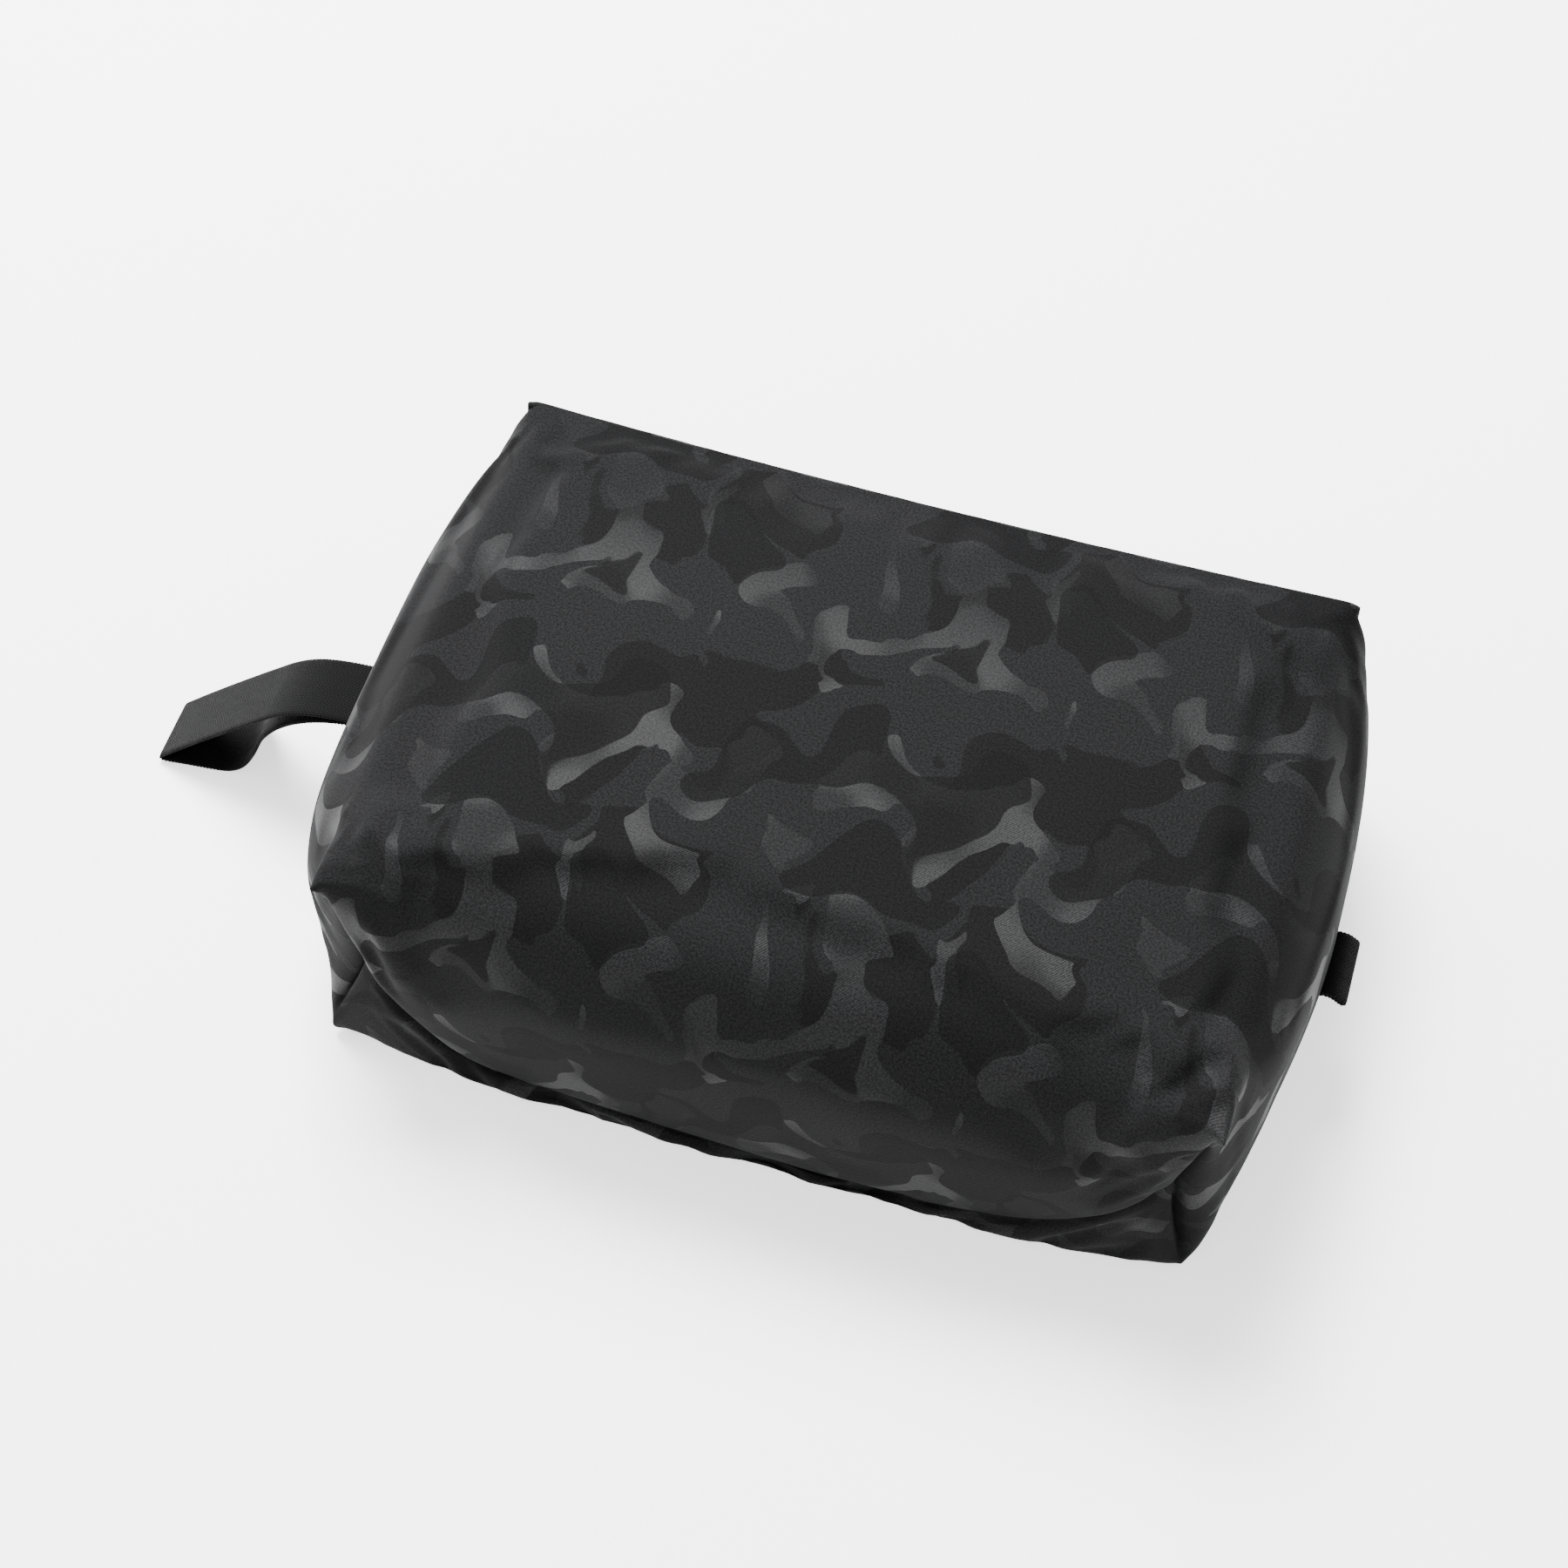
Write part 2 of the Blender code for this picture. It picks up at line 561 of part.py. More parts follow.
def band_mesh(name, path, middle_y):
    """Closed loop of webbing along a path in X and Z. middle_y gives its middle at each point."""
    count = len(path)
    half = WEBBING_THICKNESS / 2
    bm = bmesh.new()
    rings = []
    for k, point in enumerate(path):
        before, after = Vector(path[k - 1]), Vector(path[(k + 1) % count])
        here = Vector(point)
        arriving, leaving = (here - before).normalized(), (after - here).normalized()
        along = (arriving + leaving).normalized()
        normal = Vector((-along.y, along.x)) * (half / max(0.5, along.dot(leaving)))
        middle = middle_y(here.x)
        ring = []
        for offset, side in ((normal, -1), (normal, 1), (-normal, 1), (-normal, -1)):
            spot = here + offset
            ring.append(bm.verts.new((spot.x, middle + side * WEBBING_WIDTH / 2, spot.y)))
        rings.append(ring)
    for k in range(count):
        for m in range(4):
            n = (m + 1) % 4
            after = (k + 1) % count
            bm.faces.new((rings[k][m], rings[k][n], rings[after][n], rings[after][m]))
    return finish_mesh(bm, name)


def loop_axis():
    x = -(seam_half(LOOP_Y, LEFT_BULGE) + ROOT_CLEARANCE + FOLD_RADIUS + WEBBING_THICKNESS / 2)
    return Vector((x, MID))


def loop_path():
    """The hanging loop droops to the floor as a flat-bottomed teardrop."""
    axis = loop_axis()
    floor = WEBBING_THICKNESS / 2 + 0.1 * MM
    top = axis.y + FOLD_RADIUS

    def spot(along, up):
        return Vector((axis.x - along * LOOP_REACH, floor + up * (top - floor), 0.0))

    low_root = (axis.y - FOLD_RADIUS - floor) / (top - floor)
    curves = (
        ((0.0, 1.0), (0.20, 1.02), (0.27, 0.95), (0.38, 0.82)),
        ((0.38, 0.82), (0.57, 0.60), (0.80, 0.33), (0.985, 0.055)),
        ((0.985, 0.055), (1.003, 0.03), (1.0, 0.0), (0.97, 0.0)),
        ((0.97, 0.0), (0.88, 0.0), (0.79, 0.0), (0.725, 0.0)),
        ((0.725, 0.0), (0.60, 0.0), (0.545, 0.22), (0.49, 0.44)),
        ((0.49, 0.44), (0.43, 0.68), (0.28, low_root), (0.0, low_root)),
    )
    path = []
    for curve, steps in zip(curves, (5, 6, 4, 3, 6, 7)):
        found = interpolate_bezier(*(spot(*p) for p in curve), steps + 1)
        path += [(p.x, p.y) for p in found[:-1]]
    for k in range(4):
        turn = -math.pi / 2 + math.pi * k / 4
        path.append((axis.x + FOLD_RADIUS * math.cos(turn), axis.y + FOLD_RADIUS * math.sin(turn)))
    return path


def make_hang_loop():
    axis = loop_axis()

    def middle(x):
        share = min(1.0, max(0.0, (axis.x - x) / LOOP_REACH))
        return LOOP_Y + LOOP_DRIFT * share

    mesh = band_mesh("hang_loop", loop_path(), middle)
    smooth(add_part("hang_loop", mesh, WEBBING, (axis.x, LOOP_Y, axis.y)))


def tab_axis():
    x = seam_half(TAB_Y, RIGHT_BULGE) + ROOT_CLEARANCE + FOLD_RADIUS + WEBBING_THICKNESS / 2
    return Vector((x, MID))


def make_grab_tab():
    axis = tab_axis()
    out = Vector((math.cos(TAB_DROOP), -math.sin(TAB_DROOP)))
    across = Vector((-out.y, out.x))
    path = []
    for k in range(6):
        turn = math.pi / 2 - math.pi * k / 5
        path.append(axis + out * (TAB_LENGTH + FOLD_RADIUS * math.cos(turn)) + across * FOLD_RADIUS * math.sin(turn))
    for k in range(6):
        turn = math.pi / 2 - math.pi * k / 5
        path.append(axis - out * FOLD_RADIUS * math.cos(turn) - across * FOLD_RADIUS * math.sin(turn))
    mesh = band_mesh("grab_tab", [(p.x, p.y) for p in path], lambda x: TAB_Y)
    smooth(add_part("grab_tab", mesh, WEBBING, (axis.x, TAB_Y, axis.y)))


clear_scene()
flat_panel("front_panel", HEIGHT, HEIGHT - WALL)
flat_panel("back_panel", 0.0, WALL)
make_base_panel()
make_end_panels()
make_lining()
make_bindings()
make_lips()
make_facings()
make_stops()
make_slider()
make_puller()
make_hang_loop()
make_grab_tab()
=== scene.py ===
import json
import math

import bmesh
import bpy
import numpy as np
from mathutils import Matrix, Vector, noise


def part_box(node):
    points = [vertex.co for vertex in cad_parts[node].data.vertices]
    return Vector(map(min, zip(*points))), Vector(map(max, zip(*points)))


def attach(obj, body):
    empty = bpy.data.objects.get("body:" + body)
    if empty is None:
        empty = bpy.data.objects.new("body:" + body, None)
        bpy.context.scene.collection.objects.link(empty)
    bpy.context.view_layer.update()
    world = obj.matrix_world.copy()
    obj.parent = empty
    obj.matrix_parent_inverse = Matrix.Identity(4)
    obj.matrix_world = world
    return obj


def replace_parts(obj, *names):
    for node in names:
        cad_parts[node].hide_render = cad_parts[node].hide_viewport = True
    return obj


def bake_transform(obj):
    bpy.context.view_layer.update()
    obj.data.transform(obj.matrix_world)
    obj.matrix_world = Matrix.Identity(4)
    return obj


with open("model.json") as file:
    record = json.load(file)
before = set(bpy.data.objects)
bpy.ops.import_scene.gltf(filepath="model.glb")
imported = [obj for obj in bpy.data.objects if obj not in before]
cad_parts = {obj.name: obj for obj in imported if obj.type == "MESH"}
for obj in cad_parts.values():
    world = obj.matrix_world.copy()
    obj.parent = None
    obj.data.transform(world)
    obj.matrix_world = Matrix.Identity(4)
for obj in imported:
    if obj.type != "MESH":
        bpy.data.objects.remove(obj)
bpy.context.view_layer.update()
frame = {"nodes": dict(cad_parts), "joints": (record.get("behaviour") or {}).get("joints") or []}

MM = 0.001

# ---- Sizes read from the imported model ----
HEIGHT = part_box("front_panel")[1].z
MID = HEIGHT / 2
BASE_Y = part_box("base_panel")[0].y
ZIP_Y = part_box("zip_panel_upper")[1].y
CORNER_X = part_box("zip_facing_right")[1].x
LEFT_BULGE = -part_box("left_end_upper")[0].x - CORNER_X
RIGHT_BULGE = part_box("right_end_upper")[1].x - CORNER_X
LIP_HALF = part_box("zip_panel_upper")[1].x
JOINTS = {j["name"]: j for j in frame["joints"]}
UPPER_AXIS = Vector(JOINTS["upper_lip_open"]["pos_m"])
LOWER_AXIS = Vector(JOINTS["lower_lip_open"]["pos_m"])
LOOP_AXIS = Vector(JOINTS["hang_loop_swing"]["pos_m"])
TAB_AXIS = Vector(JOINTS["grab_tab_swing"]["pos_m"])


# ---- Small geometry helpers ----
def ease(low, high, value):
    """0 below low, 1 above high, and smooth between."""
    t = np.clip((value - low) / (high - low), 0, 1)
    return t * t * (3 - 2 * t)


def pillow(distance, reach):
    """A quarter-circle rise from 0 at a seam to 1 at reach."""
    t = np.clip(distance / reach, 0, 1)
    return np.sqrt(1 - (1 - t) ** 2)


def bezier(p0, h0, h1, p1, steps=24):
    t = np.linspace(0, 1, steps + 1)[:, None]
    p0, h0, h1, p1 = (np.asarray(p, float) for p in (p0, h0, h1, p1))
    return (1 - t) ** 3 * p0 + 3 * (1 - t) ** 2 * t * h0 + 3 * (1 - t) * t ** 2 * h1 + t ** 3 * p1


def join_lines(*lines):
    """One polyline from several that follow each other."""
    return np.concatenate([lines[0]] + [line[1:] for line in lines[1:]])


def spread(line, shares):
    """Points at the given shares of a polyline's length, and that length."""
    steps = np.linalg.norm(np.diff(line, axis=0), axis=1)
    run = np.concatenate([[0], np.cumsum(steps)])
    at = np.asarray(shares) * run[-1]
    return np.stack([np.interp(at, run, line[:, a]) for a in range(line.shape[1])], axis=1), run[-1]


def smooth_through(points, at):
    """A smooth curve through a few (x, value) points, read at the given x."""
    xs, ys = (np.array(c, float) for c in zip(*points))
    slopes = np.gradient(ys, xs)
    i = np.clip(np.searchsorted(xs, at) - 1, 0, len(xs) - 2)
    h = xs[i + 1] - xs[i]
    t = np.clip((at - xs[i]) / h, 0, 1)
    return (
        (2 * t ** 3 - 3 * t ** 2 + 1) * ys[i]
        + (t ** 3 - 2 * t ** 2 + t) * h * slopes[i]
        + (3 * t ** 2 - 2 * t ** 3) * ys[i + 1]
        + (t ** 3 - t ** 2) * h * slopes[i + 1]
    )


def even(count):
    """Numbers from -1 to 1 that lie closer together towards both ends."""
    t = np.linspace(-1, 1, count + 1)
    return 0.5 * t + 0.5 * np.sin(math.pi / 2 * t)


def disc_from_square(a, b):
    """A point of the unit square's quarter, moved to the unit disc's quarter."""
    return a * math.sqrt(1 - min(1.0, b) ** 2 / 2), b * math.sqrt(1 - min(1.0, a) ** 2 / 2)


def rough(place, size, seed=0.0):
    """Smooth noise about 0 with waves of the given size."""
    return noise.noise(Vector(place) / size + Vector((seed, seed * 1.7, seed * 2.3)))


def new_object(name, mesh):
    thing = bpy.data.objects.new(name, mesh)
    bpy.context.scene.collection.objects.link(thing)
    return thing


def grid_faces(rows, columns, first=0, closed=False):
    """Quads of a lattice of points, whose rows close on themselves if closed."""
    wide = columns if closed else columns - 1
    return [
        (
            first + r * columns + c,
            first + r * columns + (c + 1) % columns,
            first + (r + 1) * columns + (c + 1) % columns,
            first + (r + 1) * columns + c,
        )
        for r in range(rows - 1)
        for c in range(wide)
    ]


def swept_faces(rows, columns):
    """Faces of a closed section swept along a line, with its two ends shut."""
    ends = [tuple(range(columns))[::-1], tuple(range((rows - 1) * columns, rows * columns))]
    return grid_faces(rows, columns, closed=True) + ends


def edited(mesh, change):
    """A mesh after a change to it in edit form."""
    work = bmesh.new()
    work.from_mesh(mesh)
    change(work)
    work.to_mesh(mesh)
    work.free()
    mesh.shade_smooth()
    return mesh


def turned_out(mesh):
    return edited(mesh, lambda work: bmesh.ops.recalc_face_normals(work, faces=work.faces))


def smooth_mesh(name, verts, faces, cloth=None):
    """A smooth mesh, with its places on the flat cloth where they are given."""
    mesh = bpy.data.meshes.new(name)
    mesh.from_pydata(verts, [], faces)
    if cloth is not None:
        layer = mesh.uv_layers.new(name="cloth")
        for loop in mesh.loops:
            layer.data[loop.index].uv = cloth[loop.vertex_index]
    mesh.shade_smooth()
    return mesh


SEWN = 0.02 * MM           # points of two patches nearer than this are one point


def lattice_mesh(name, patches):
    """A mesh from patches of (points, cloth coordinates), sewn where their edges meet."""
    verts, faces, cloth = [], [], []
    for points, flat in patches:
        rows, columns = points.shape[:2]
        faces += grid_faces(rows, columns, len(verts))
        verts += [tuple(p) for p in points.reshape(-1, 3)]
        cloth += [tuple(p) for p in flat.reshape(-1, 2)]
    mesh = smooth_mesh(name, verts, faces, cloth)
    return edited(mesh, lambda work: bmesh.ops.remove_doubles(work, verts=work.verts, dist=SEWN))


def finished(thing):
    """Applies the modifiers, so that the mesh is final."""
    depsgraph = bpy.context.evaluated_depsgraph_get()
    mesh = bpy.data.meshes.new_from_object(thing.evaluated_get(depsgraph), depsgraph=depsgraph)
    thing.modifiers.clear()
    thing.data = mesh
    return thing


def subdivide(thing, levels=1):
    modifier = thing.modifiers.new("subdivide", "SUBSURF")
    modifier.levels = levels
    modifier.render_levels = levels
    return finished(thing)


# ---- The outer cloth ----
COLUMNS = 72               # across the bag
ROWS = 52                  # from the zip to the base
UPPER_ROWS = 20            # from the top edge down to the side seam or crease
LOWER_ROWS = 14            # from there down to the bottom edge
EDGE_BULGE = 5.0 * MM      # top and bottom edges bow out at mid-depth
LEFT_TUCK = 14.0 * MM      # side seams turn in at the base corners
RIGHT_TUCK = 5.5 * MM
TIP_X = CORNER_X - 1.0 * MM
TIP_DROP = 2.2 * MM
APEX_X = CORNER_X - 9.5 * MM   # where a boxed corner's seam is drawn in, at mid-height
APEX_Y = BASE_Y + 8.0 * MM
FAR_Y = UPPER_AXIS.y       # where front and back panels fold into the zip face
NEAR_ROUND = 24.0 * MM     # rounding from the front panel down into the base
SIDE_ROUND = 11.0 * MM     # rounding from front and back into the ends
FOOT_ROUND = 4.0 * MM      # bottom edge of the base, on the floor
BELLY = 4.2 * MM           # the base's bulge above its crease
FOOT_BOW = 6.2 * MM        # the bottom edge bows out
CROWN = 3.0 * MM           # the front panel's crown
TURN_STEPS = 48            # points along the turn from the front panel into the base,
FRONT_STEPS = 17           # of which these belong to the front panel's patch
FOOT_STEPS = 8             # and points along the rounding on the floor
FAR_CORNER = 4.6 * MM      # rounding of the zip face's corners, seen from the front

# Height of the crease along the base, from the left boxed corner to the right one.
CREASE_LINE = [
    (-120 * MM, 43 * MM),
    (-106 * MM, 25 * MM),
    (-92 * MM, 12 * MM),
    (-72 * MM, 7.5 * MM),
    (-30 * MM, 6 * MM),
    (15 * MM, 4 * MM),
    (50 * MM, 4.5 * MM),
    (72 * MM, 8 * MM),
    (90 * MM, 16 * MM),
    (106 * MM, 29 * MM),
    (120 * MM, 43 * MM),
]


# Powers of the side seam's bow towards the base and towards the zip, for the left and right end.
SEAM_POWERS = {-1: (4, 3.5), 1: (1.6, 4)}


def edge_half(y):
    """Distance from the middle of the edge where the front panel turns into an end."""
    return CORNER_X + EDGE_BULGE * (1 - (y / ZIP_Y) ** 2)


def seam_half(y, side):
    """Distance of the side seam from the middle; the right end is flatter towards the base."""
    t = y / ZIP_Y
    bulge = LEFT_BULGE if side < 0 else 0.94 * RIGHT_BULGE
    tuck = LEFT_TUCK if side < 0 else RIGHT_TUCK
    power = SEAM_POWERS[side][0 if y < 0 else 1]
    return CORNER_X + bulge * (1 - abs(t) ** power) - tuck * max(0, -t) ** 8


def wrap_lines(x):
    """Front, upper base, lower base and back of the section at x, as (y, z) polylines."""
    share = 1 - (x / CORNER_X) ** 2
    crease_z = float(smooth_through(CREASE_LINE, np.array([x]))[0])
    crease_y = BASE_Y - 1.4 * MM + 8.0 * MM * (abs(x) / CORNER_X) ** 4
    belly_y = BASE_Y - BELLY * share ** 0.5
    belly_z = crease_z + 0.42 * (HEIGHT - crease_z)
    foot_y = BASE_Y - FOOT_BOW * (1 - (x / CORNER_X) ** 4)
    foot_z = 2.2 * MM
    start = (BASE_Y + NEAR_ROUND, HEIGHT)
    turn = bezier(
        start,
        (start[0] - 0.72 * (start[0] - belly_y), HEIGHT),
        (belly_y, belly_z + 0.60 * (HEIGHT - belly_z)),
        (belly_y, belly_z),
        TURN_STEPS,
    )
    under = bezier(
        (belly_y, belly_z),
        (belly_y, belly_z - 0.55 * (belly_z - crease_z)),
        (belly_y + 0.2 * (crease_y - belly_y), crease_z - 0.8 * MM),
        (crease_y, crease_z),
    )
    strip = bezier(
        (crease_y, crease_z),
        (crease_y - 0.45 * (crease_y - foot_y), crease_z - 0.06 * crease_z - 0.5 * MM),
        (foot_y, foot_z + 0.5 * (crease_z - foot_z)),
        (foot_y, foot_z),
    )
    foot = bezier(
        (foot_y, foot_z),
        (foot_y, 0.9 * MM),
        (foot_y + 0.35 * FOOT_ROUND, 0),
        (foot_y + FOOT_ROUND, 0),
        FOOT_STEPS,
    )
    half_foot = FOOT_STEPS // 2
    front = join_lines(np.array([(FAR_Y, HEIGHT), start]), turn[: FRONT_STEPS + 1])
    upper = join_lines(turn[FRONT_STEPS:], under)
    lower = join_lines(strip, foot[: half_foot + 1])
    back = join_lines(foot[half_foot:], np.array([foot[-1], (FAR_Y, 0)]))
    return front, upper, lower, back


LEFT_HEEL = (6.4 * MM, 4.8 * MM)    # how far a boxed corner's lower tip spreads out in X and Y
RIGHT_HEEL = (1.0 * MM, 2.2 * MM)


def corner_seam(side):
    """The boxed corner's seam from its top tip in to the apex and out to its bottom tip."""
    tip = np.array([TIP_X, BASE_Y, HEIGHT - TIP_DROP])
    apex = np.array([APEX_X, APEX_Y, MID])
    out_x, out_y = LEFT_HEEL if side < 0 else RIGHT_HEEL
    heel = np.array([TIP_X + out_x, BASE_Y - out_y, 0.3 * MM])
    above = bezier(tip, tip + np.array([-1.5, 2.2, -9]) * MM, apex + np.array([-0.3, 0.2, 13]) * MM, apex)
    leave, arrive = ((1.5, -1, -11), (-0.6, 0.8, 17)) if side < 0 else ((-0.3, 0.2, -13), (-1.5, 1.6, 9))
    below = bezier(apex, apex + np.array(leave) * MM, heel + np.array(arrive) * MM, heel)
    sign = np.array([side, 1, 1])
    return above * sign, below * sign


def corner_groove(side, share, above):
    """How far a boxed corner's seam is sunk below the cloth beside it, at a share of its length."""
    if above:
        deep = 8.0 if side < 0 else 11.0
        wave = np.sin(math.pi * np.clip(share, 0, 1)) ** 0.7
        hold = 0.55 * share
    else:
        deep = 6.0
        wave = np.sin(math.pi * (0.12 + 0.88 * share)) ** 0.8
        hold = 0.55 * (1 - share)
    return deep * MM * np.maximum(wave, hold)[:, None] * np.array([-side * 0.72, 0.69, 0])


GROOVE_REACH = 5.0 * MM
FRONT_PILLOW = 34 * MM     # the front cloth is at its full height this far in from the ends
BACK_PILLOW = 12 * MM      # and the back cloth this far
ROLL_INSET = 1.3 * MM      # middle of the rolled seam, in from the bag's corner


ENDS = ((0, -1), (-1, 1))  # first and last column of the lattice, and which end of the bag it is


def shell_patches():
    """Lattices of the front, base, back and ends, whose edges meet along the seams."""
    us = even(COLUMNS)
    vs = (even(ROWS) + 1) / 2
    up = np.linspace(0, 1, UPPER_ROWS + 1)
    low = np.linspace(0, 1, LOWER_ROWS + 1)
    seams = {s: [spread(line, k)[0] for line, k in zip(corner_seam(s), (up, low))] for s in (-1, 1)}
    grooves = {s: (corner_groove(s, up, True), corner_groove(s, low, False)) for s in (-1, 1)}
    front, base_up, base_low, back = (np.zeros((len(k), len(us), 3)) for k in (vs, up, low, vs))
    lengths = np.zeros((len(us), 4))
    seam_y = FAR_Y + (BASE_Y - FAR_Y) * vs
    for i, u in enumerate(us):
        side = -1 if u < 0 else 1
        parts = [spread(line, k) for line, k in zip(wrap_lines(u * TIP_X), (vs, up, low, vs))]
        lengths[i] = [length for _, length in parts]
        gap = (1 - abs(u)) * TIP_X
        rise = pillow(gap, FRONT_PILLOW)
        front[:, i, 1] = seam_y + (parts[0][0][:, 0] - seam_y) * rise
        edge_z = HEIGHT - TIP_DROP * ease(0.75, 1.0, vs)
        front[:, i, 2] = edge_z + (parts[0][0][:, 1] - edge_z) * rise
        sunk = 1 - pillow(gap, GROOVE_REACH)
        for k, (base, reach, power) in enumerate((
            (base_up, FRONT_PILLOW - 16 * MM * ease(0, 0.5, up), 7),
            (base_low, (18 - 6 * low) * MM, 9),
        )):
            seam = seams[side][k]
            w = pillow(gap, reach)[:, None]
            full = np.column_stack([np.full(len(seam), u * TIP_X), parts[k + 1][0]])
            base[:, i] = seam * (1 - w) + full * w
            base[:, i, 0] = u * TIP_X + side * (abs(seam[:, 0]) - TIP_X) * abs(u) ** power
            base[:, i] += grooves[side][k] * sunk
        rise = pillow(gap, BACK_PILLOW)
        back[:, i, 1] = seam_y[::-1] + (parts[3][0][:, 0] - seam_y[::-1]) * rise
        back[:, i, 2] = parts[3][0][:, 1] * rise
    arc = np.zeros((len(vs), len(us)))
    for panel, order, tip_z in ((front, 1, -1), (back, -1, 1)):
        for j in range(len(vs)):
            y = seam_y[::order][j]
            t = y / ZIP_Y
            radius = SIDE_ROUND * (1 - 0.85 * ease(0.62, 1.0, -t)) * (1 - 0.7 * ease(0.9, 1.0, t))
            half = edge_half(y) - (CORNER_X - TIP_X) * ease(0.5, 1.0, -t) - 0.8 * MM * ease(0.95, 1.0, t)
            reach = half - radius + radius * math.pi / 4
            run = abs(us) * reach
            turn = np.clip((run - (half - radius)) / radius, 0, math.pi / 4)
            x = np.where(run < half - radius, run, half - radius + radius * np.sin(turn))
            panel[j, :, 0] = np.sign(us) * x
            panel[j, :, 2] += tip_z * radius * (1 - np.cos(turn))
            if order == 1:
                arc[j] = us * reach
    # Shared edges are made exactly equal.
    for i, side in ENDS:
        front[-1, i] = seams[side][0][0]
        back[0, i] = seams[side][1][-1]
    base_up[0] = front[-1]
    base_low[-1] = back[0]
    base_low[0] = base_up[-1]
    ends = {}
    for i, side in ENDS:
        base_up[:, i] = seams[side][0] + grooves[side][0]
        base_low[:, i] = seams[side][1] + grooves[side][1]
        base_up[0, i] = front[-1, i]
        base_low[-1, i] = back[0, i]
        upper, lower = (np.zeros((len(vs), len(k), 3)) for k in (up, low))
        run_up, run_low = (np.zeros((len(vs), len(k))) for k in (up, low))
        for j in range(len(vs)):
            top = front[j, i]
            foot = back[len(vs) - 1 - j, i]
            seam_x = seam_half(seam_y[j], side)
            for rows, edge, shares, run, first in (
                (upper, top, up, run_up, True),
                (lower, foot, low, run_low, False),
            ):
                start = np.array([abs(edge[0]), edge[2]])
                middle = np.array([seam_x, MID])
                span = np.linalg.norm(middle - start)
                down = -1 if first else 1
                # Towards the base the cloth is drawn in, most of all above the side seam.
                drawn_in = 1.5 if first else (-0.1 if side < 0 else 0.45)
                full = 1 - drawn_in * float(ease(0.50, 0.98, -seam_y[j] / ZIP_Y))
                line = bezier(
                    start,
                    start + span * 0.30 * np.array([full, down * 0.95]),
                    middle - span * 0.38 * np.array([0.10 * full, down]),
                    middle,
                )
                placed, length = spread(line, shares if first else 1 - shares[::-1])
                if not first:
                    placed = placed[::-1]
                closing = pillow(FAR_Y - seam_y[j], 7 * MM)
                placed[:, 0] = CORNER_X - ROLL_INSET + (placed[:, 0] - CORNER_X + ROLL_INSET) * closing
                w = pillow(abs(seam_y[j] - BASE_Y), 13 * MM)
                seam = seams[side][0 if first else 1]
                rows[j, :, 0] = side * (placed[:, 0] * w + abs(seam[:, 0]) * (1 - w))
                rows[j, :, 1] = seam_y[j] * w + seam[:, 1] * (1 - w)
                rows[j, :, 2] = placed[:, 1] * w + seam[:, 2] * (1 - w)
                sunk = 1 - pillow(abs(seam_y[j] - BASE_Y), GROOVE_REACH * 1.5)
                rows[j] += grooves[side][0 if first else 1] * sunk
                run[j] = shares * length if first else (1 - shares) * length
        upper[:, 0] = front[:, i]
        lower[:, -1] = back[::-1, i]
        lower[:, 0] = upper[:, -1]
        ends[side] = (upper, lower, run_up, run_low)
    return us, vs, up, low, front, base_up, base_low, back, lengths, arc, ends


EDGE_SAG_Y = 1.3 * MM      # the upper zip edge hangs in a little between its corners
EDGE_SAG_Z = 1.6 * MM


def edge_sag(x, z):
    """How far the upper zip edge hangs in and down at x; nothing at the bag's mid-height."""
    share = max(0.0, 1 - (x / (CORNER_X - 6 * MM)) ** 2) * float(ease(MID + 8 * MM, HEIGHT, z))
    return -EDGE_SAG_Y * share, -EDGE_SAG_Z * share


HEEL_ROUND = 8.5 * MM      # rounding of the base's corners on the floor, seen from above


def round_heel(x, y, z):
    """A point of the base's corner, rounded in plan at the floor and less so further up."""
    heel = corner_seam(-1 if x < 0 else 1)[1][-1]
    a = (abs(x) - (abs(heel[0]) - HEEL_ROUND)) / HEEL_ROUND
    b = (heel[1] + HEEL_ROUND - y) / HEEL_ROUND
    if a <= 0 or b <= 0 or z > 22 * MM:
        return x, y
    share = 1 - float(ease(3 * MM, 22 * MM, z))
    a, b = disc_from_square(a, b)
    new_x = abs(heel[0]) - HEEL_ROUND + HEEL_ROUND * a
    new_y = heel[1] + HEEL_ROUND - HEEL_ROUND * b
    return math.copysign(abs(x) + share * (new_x - abs(x)), x), y + share * (new_y - y)


def soften(points):
    """Crown, seam puckers, sag and rounded far corners, for any lattice of the outer cloth."""
    out = points.copy()
    flat = out.reshape(-1, 3)
    for p in flat:
        x, y, z = p
        across = max(0.0, 1 - (x / CORNER_X) ** 2)
        along = max(0.0, 1 - (y / ZIP_Y) ** 2)
        if z > MID:
            level = float(ease(MID, HEIGHT, z)) ** 3
            p[2] += CROWN * across ** 0.8 * along ** 0.8 * level
            near_zip = math.exp(-(((FAR_Y - y) / (7 * MM)) ** 2))
            p[2] += near_zip * 0.35 * MM * rough((x, 0, 0), 7 * MM, 3.1) * level
            p[1] += near_zip * 0.5 * MM * rough((x, 0, 0), 9 * MM, 9.4) * level
        swell = 0.9 * MM * rough((x, y, z), 60 * MM, 5.0) + 0.35 * MM * rough((x, y, z), 22 * MM, 1.0)
        fade = min(1.0, z / (12 * MM)) * float(ease(0, 25 * MM, FAR_Y - y))
        p[2] += swell * fade * (1 if z > HEIGHT * 0.7 else 0)
        p[1] += swell * fade * float(ease(BASE_Y + 12 * MM, BASE_Y, y))
        p[0], p[1] = round_heel(x, p[1], z)
    for p in flat:
        p[0], p[1] = round_far_corner(p[0], p[1])
        drop_y, drop_z = edge_sag(p[0], p[2])
        reach = math.exp(-(((FAR_Y - p[1]) / (38 * MM)) ** 2))
        p[1] += drop_y * reach
        p[2] += drop_z * reach
    return out


